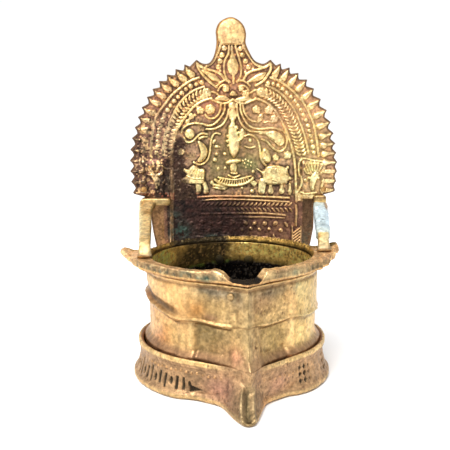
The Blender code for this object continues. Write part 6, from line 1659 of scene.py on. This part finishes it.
def plain_brass(name, rgb_a, rgb_b, rgb_c, metal=0.9, soot_and_painted_light=False):
    """Brass for small carried-over parts: noise between three tones; if asked, soot on the front, with the olive above
    it brightened as painted light.
    """
    mat = bpy.data.materials.new(name)
    mat.use_nodes = True
    nt = mat.node_tree
    N, L = nt.nodes, nt.links
    bsdf = N["Principled BSDF"]
    tex = N.new("ShaderNodeTexCoord")
    n = N.new("ShaderNodeTexNoise")
    n.inputs["Scale"].default_value = 700
    n.inputs["Detail"].default_value = 6
    L.new(tex.outputs["Object"], n.inputs["Vector"])
    ramp = N.new("ShaderNodeValToRGB")
    els = ramp.color_ramp.elements
    els[0].position, els[0].color = 0.3, (*rgb_c, 1)
    els[1].position, els[1].color = 0.72, (*rgb_a, 1)
    e = els.new(0.5)
    e.color = (*rgb_b, 1)
    L.new(n.outputs["Fac"], ramp.inputs["Fac"])
    if soot_and_painted_light:
        geo = N.new("ShaderNodeNewGeometry")
        sep = N.new("ShaderNodeSeparateXYZ")
        L.new(geo.outputs["Position"], sep.inputs[0])
        depth = N.new("ShaderNodeMapRange")
        depth.inputs["From Min"].default_value = 0.0435
        depth.inputs["From Max"].default_value = 0.0445
        L.new(sep.outputs["Y"], depth.inputs["Value"])
        blend = N.new("ShaderNodeMix")
        blend.data_type = "RGBA"
        L.new(depth.outputs["Result"], blend.inputs[0])
        # painted light: the olive tones above the soot are made brighter to offset the shade inside the bowl
        dark = N.new("ShaderNodeValToRGB")
        dark.color_ramp.elements[0].color = (0.050, 0.036, 0.011, 1)
        dark.color_ramp.elements[1].color = (0.180, 0.130, 0.042, 1)
        L.new(n.outputs["Fac"], dark.inputs["Fac"])
        rise = N.new("ShaderNodeMapRange")
        rise.inputs["From Min"].default_value = 0.0478
        rise.inputs["From Max"].default_value = 0.0512
        L.new(sep.outputs["Z"], rise.inputs["Value"])
        shade = N.new("ShaderNodeMix")
        shade.data_type = "RGBA"
        shade.inputs[6].default_value = (0.0012, 0.001, 0.0008, 1)
        side = N.new("ShaderNodeMapRange")
        side.inputs["From Min"].default_value = -0.002
        side.inputs["From Max"].default_value = 0.002
        side.inputs["To Min"].default_value = 0.30
        L.new(sep.outputs["X"], side.inputs["Value"])
        both = N.new("ShaderNodeMath")
        both.operation = "MULTIPLY"
        L.new(rise.outputs["Result"], both.inputs[0])
        L.new(side.outputs["Result"], both.inputs[1])
        L.new(both.outputs[0], shade.inputs[0])
        L.new(dark.outputs["Color"], shade.inputs[7])
        L.new(shade.outputs[2], blend.inputs[6])
        L.new(ramp.outputs["Color"], blend.inputs[7])
        L.new(blend.outputs[2], bsdf.inputs["Base Color"])
    else:
        L.new(ramp.outputs["Color"], bsdf.inputs["Base Color"])
    bsdf.inputs["Metallic"].default_value = metal
    mr = N.new("ShaderNodeMapRange")
    mr.inputs["To Min"].default_value = 0.58
    mr.inputs["To Max"].default_value = 0.34
    L.new(n.outputs["Fac"], mr.inputs["Value"])
    L.new(mr.outputs["Result"], bsdf.inputs["Roughness"])
    b = N.new("ShaderNodeBump")
    b.inputs["Strength"].default_value = 0.4
    b.inputs["Distance"].default_value = 0.0002
    L.new(n.outputs["Fac"], b.inputs["Height"])
    L.new(b.outputs["Normal"], bsdf.inputs["Normal"])
    return mat


# ------------------------------------------------------------------ make pieces
def dress(ob, mat, node):
    ob.data.materials.append(mat)
    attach(ob, "root")
    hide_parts(node)


brass_plate = patina("plate_patina", rough=(0.66, 0.30), metal=0.82, bump=0.3, speck=0.35)
brass_bowl = patina("bowl_patina", rough=(0.56, 0.27), metal=0.86, bump=0.28, speck=0.32, speck_colour=(0.12, 0.07, 0.03))
brass_rim = patina("rim_patina", rough=(0.60, 0.32), metal=0.84, bump=0.35, speck=0.4, speck_colour=(0.09, 0.06, 0.04))
brass_base = patina("plinth_patina", rough=(0.62, 0.30), metal=0.82, bump=0.35, speck=0.45, speck_colour=(0.06, 0.04, 0.025))
brass_strut = patina("strut_patina", rough=(0.52, 0.28), metal=0.88, bump=0.25, speck=0.3, speck_colour=(0.15, 0.09, 0.04))
solder_mat = patina("solder_coat", rough=(0.70, 0.40), metal=0.35, bump=0.6, speck=0.55, speck_colour=(0.08, 0.09, 0.09))

verts, quads, on_front, d_in = build_plate()
col, gloss = colour_plate(verts, on_front)
if volume_sign(verts, quads) < 0:
    quads = quads[:, ::-1]
plate = new_mesh("relief_plate", verts, quads, {"Col": col, "gloss": gloss})
dress(plate, brass_plate, "back_plate")

P, layers = build_bowl()
bowl = grid_body("cast_bowl", P, False, layers)
dress(bowl, brass_bowl, "oil_bowl")

P, layers = build_rim()
rim = grid_body("rim_band", P, True, layers)
dress(rim, brass_rim, "rim_flange")

P, layers = build_plinth()
plinth = grid_body("flared_plinth", P, False, layers)
dress(plinth, brass_base, "base_plinth")


def strut_head(name, side):
    """Arm under the ear, block beside the panel and tab behind the ear, in one."""
    rx, rz = PLATE_CX + side * 49.4, EAR_BOTTOM + 4.4
    h = 0.35
    org = np.array([rx - 15.0, 38.6, 77.0])
    n = np.ceil(np.array([30.0, 12.5, 16.0]) / h).astype(int)
    g = [org[k] + np.arange(n[k]) * h for k in range(3)]
    X, Y, Z = np.meshgrid(*g, indexing="ij")
    P = np.stack([X, Y, Z], -1)

    def rbox(lo, hi, r):
        c = (np.array(lo) + np.array(hi)) / 2
        b = (np.array(hi) - np.array(lo)) / 2 - r
        q = np.abs(P - c) - b
        return np.linalg.norm(np.maximum(q, 0), axis=-1) + np.minimum(q.max(-1), 0) - r
    if side < 0:
        arm = rbox((-49.4, 39.4, 79.3), (-32.2, 43.5, 83.4), 1.2)
        cx, cz = -45.7, 79.7
        arm = np.maximum(arm, np.hypot(np.minimum(X - cx, 0), np.maximum(Z - cz, 0)) - 3.7)
    else:
        arm = rbox((rx - 5.2, 39.6, 79.4), (rx + 1.5, 43.5, 84.6), 1.5)
    edge = -43.8 if side < 0 else 47.4
    lo, hi = sorted((edge, rx + side * (2.6 if side < 0 else 1.4)))
    block = rbox((lo, 41.0, 79.7), (hi, 49.4, 82.6), 0.8)
    if side < 0:
        block = np.maximum(block, np.hypot(np.minimum(X - cx, 0), np.maximum(Z - cz, 0)) - 3.5)
    edges = (-46.9, -43.8) if side < 0 else (47.4, 51.0)
    tab = rbox((edges[0], 47.3, 80.2), (edges[1], 49.4, rz + 4.0), 0.5)
    f = np.minimum(np.minimum(arm, block), tab)
    f = f - 0.10 * fbm(P, 3.0, 3, 150) - 0.04 + 0.12 * pits(P, 1.1, 151, 0.55)
    f = np.maximum(f, 1.5 - np.hypot(X - rx, Z - rz))
    v, q = surface_nets(f, org, np.array([h, h, h]))
    if volume_sign(v, q) < 0:
        q = q[:, ::-1]
    n1, n2 = fbm(v, 6, 3, 152), fbm(v, 2, 3, 153)
    c = strut_colour(v, pits(v, 1.1, 151, 0.55), n1, n2, np.ones(len(v)), side)
    c = mix(c, mix(srgb(178, 138, 84), OLIVE, 0.5 + 0.6 * n2), 0.62)
    c = mix(c, srgb(120, 84, 56), 0.7 * smooth(82.5, 83.1, v[:, 2]) * (v[:, 2] < 83.9))
    if side > 0:
        c = mix(c, srgb(206, 200, 168), 0.5 * smooth(51.5, 49.0, v[:, 0]) * smooth(82.5, 80.5, v[:, 2]))
    c = mix(c, mix(OLIVE, UMBER, 0.5), 0.45 * smooth(44.0, 47.0, v[:, 1]))
    return new_mesh(name, v, q, {"Col": c, "gloss": np.full(len(v), 0.6)})


for side, label in ((-1, "left"), (1, "right")):
    P, d, pit, n1, n2, along = build_strut(side, label)
    layers = {"Col": strut_colour(P, pit, n1, n2, along, side), "gloss": np.clip((0.65 + 0.2 * n1 - 0.4 * pit) * (1 - 0.7 * smooth(0.2, 0.08, along)), 0, 1)}
    bar = grid_body(label + "_strut_bar", P, False, layers)
    dress(bar, brass_strut, label + "_strut")
    head = strut_head(label + "_strut_head", side)
    dress(head, brass_strut, label + "_strut")

# solder repair: a lumpy coat over the right bar
st = resample3(strut_stations(1), 0.4)
a, b = 0.22, 0.97
st = st[int(len(st) * a):int(len(st) * b)]
P = bar_sections(st, 72, grow=0.62, power=3.6)
P = np.transpose(P, (1, 0, 2))
N = grid_normals(P, True, False)
if (N * (P - st[None, :, :3])).sum() < 0:
    N = -N
n1, n2, n3 = fbm(P, 5, 3, 160), fbm(P, 1.8, 3, 161), fbm(P, 0.8, 2, 162)
along = np.linspace(0, 1, P.shape[1])[None] + 0.05 * n2
ends = smooth(0.0, 0.05, along) * smooth(1.0, 0.92, along)
pit = pits(P, 1.2, 163, 0.5)
P = P + N * (0.42 * n1 + 0.28 * n2 + 0.08 * n3 - 0.30 * pit + 0.35 * ends - 0.45 - 0.45 * (1 - ends))[..., None]
t = np.linspace(0, 1, P.shape[1])
neck = 0.70 + 0.30 * smooth(0.0, 0.035, t) * smooth(1.0, 0.975, t)
P = st[None, :, :3] + (P - st[None, :, :3]) * neck[None, :, None]
col = mix(srgb(208, 226, 236), srgb(168, 184, 188), 0.5 + 0.6 * n1 + 0.5 * n2)
col = mix(col, srgb(206, 208, 176), 0.6 * smooth(0.72, 1.0, along) + 0.5 * smooth(0.2, 0.0, along))
col = mix(col, srgb(70, 76, 74), 0.8 * smooth(0.18, 0.75, pit + 0.55 * n3))
col = mix(col, srgb(168, 136, 86), 0.7 * (1 - ends))
col = mix(col, mix(srgb(196, 154, 104), srgb(120, 90, 60), 0.5 + 0.9 * n2), 0.85 * smooth(51.0, 52.0, P[..., 0]) * smooth(0.62, 0.82, along))
col = col * 0.92
sleeve = grid_body("solder_coat", P, False, {"Col": col, "gloss": np.clip(0.5 + 0.3 * n1, 0, 1)})
dress(sleeve, solder_mat, "solder_sleeve")

# rivets keep their shape and get worn brass
rivet_ear = plain_brass("rivet_patina", srgb(222, 182, 116), srgb(188, 142, 86), srgb(112, 78, 48))
rivet_wall = plain_brass("rivet_wall", srgb(184, 152, 102), srgb(166, 136, 90), srgb(144, 116, 78), 0.55)
rivet_soot_and_painted_light = plain_brass("rivet_soot_and_painted_light", srgb(196, 158, 102), srgb(150, 118, 72), srgb(92, 68, 44), 0.5, True)
for node, mat in (("front_rivet", rivet_wall), ("plate_rivet_left", rivet_soot_and_painted_light), ("plate_rivet_right", rivet_soot_and_painted_light),
                  ("strut_rivet_left", rivet_ear), ("strut_rivet_right", rivet_ear)):
    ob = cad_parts[node]
    ob.data.materials.clear()
    ob.data.materials.append(mat)
    for poly in ob.data.polygons:
        poly.use_smooth = True

# -------------------------------------------------------------- stage and light
floor_mesh = bpy.data.meshes.new("floor")
s = 4.0
floor_mesh.from_pydata([(-s, -s, -0.0002), (s, -s, -0.0002), (s, s, -0.0002), (-s, s, -0.0002)], [], [(0, 1, 2, 3)])
floor = bpy.data.objects.new("floor", floor_mesh)
bpy.context.scene.collection.objects.link(floor)
fmat = bpy.data.materials.new("pale_floor")
fmat.use_nodes = True
fb = fmat.node_tree.nodes["Principled BSDF"]
fb.inputs["Base Color"].default_value = (0.93, 0.93, 0.93, 1)
fb.inputs["Roughness"].default_value = 0.7
floor_mesh.materials.append(fmat)

world = bpy.data.worlds.new("soft_world")
world.use_nodes = True
bg = world.node_tree.nodes["Background"]
bg.inputs["Color"].default_value = (1, 1, 1, 1)
wc = world.node_tree.nodes.new("ShaderNodeTexCoord")
ws = world.node_tree.nodes.new("ShaderNodeSeparateXYZ")
wm = world.node_tree.nodes.new("ShaderNodeMapRange")
wm.interpolation_type = "SMOOTHSTEP"
wm.inputs["From Min"].default_value = -0.75
wm.inputs["From Max"].default_value = 0.0
wm.inputs["To Min"].default_value = 0.42
wm.inputs["To Max"].default_value = 1.02
world.node_tree.links.new(wc.outputs["Generated"], ws.inputs[0])
world.node_tree.links.new(ws.outputs["Y"], wm.inputs["Value"])
world.node_tree.links.new(wm.outputs["Result"], bg.inputs["Strength"])
bpy.context.scene.world = world


def area(name, loc, target, size, power, colour=(1, 1, 1)):
    light = bpy.data.lights.new(name, "AREA")
    light.shape = "RECTANGLE"
    light.size, light.size_y = size
    light.energy = power
    light.color = colour
    ob = bpy.data.objects.new(name, light)
    ob.location = Vector(loc)
    ob.rotation_euler = (Vector(target) - Vector(loc)).to_track_quat("-Z", "Y").to_euler()
    bpy.context.scene.collection.objects.link(ob)


area("key_top", (-0.29, -0.64, 0.79), (0, 0, 0.08), (0.5, 0.5), 9.4)
area("left_side", (-0.8, -0.1, 0.35), (0, 0, 0.06), (0.5, 0.6), 0.9)
sky = bpy.data.lights.new("overhead", "SUN")
sky.energy = 1.1
sky.angle = math.radians(55)
sky_ob = bpy.data.objects.new("overhead", sky)
sky_ob.rotation_euler = Vector((0.25, 0.35, -1.0)).to_track_quat("-Z", "Y").to_euler()
bpy.context.scene.collection.objects.link(sky_ob)

cam_data = bpy.data.cameras.new("camera")
cam_data.sensor_width = 36.0
cam_data.lens = 809.1 / 450.0 * 36.0
cam_data.clip_start = 0.01
cam = bpy.data.objects.new("camera", cam_data)
cam.location = Vector((-13.958, -399.72, 145.47)) * MM
yaw, pitch = math.radians(1.51), math.radians(9.95)
fwd = Vector((math.sin(yaw) * math.cos(pitch), math.cos(yaw) * math.cos(pitch), -math.sin(pitch)))
cam.rotation_euler = fwd.to_track_quat("-Z", "Y").to_euler()
bpy.context.scene.collection.objects.link(cam)
bpy.context.scene.camera = cam
bpy.context.scene.view_settings.view_transform = "Standard"

bpy.context.view_layer.update()
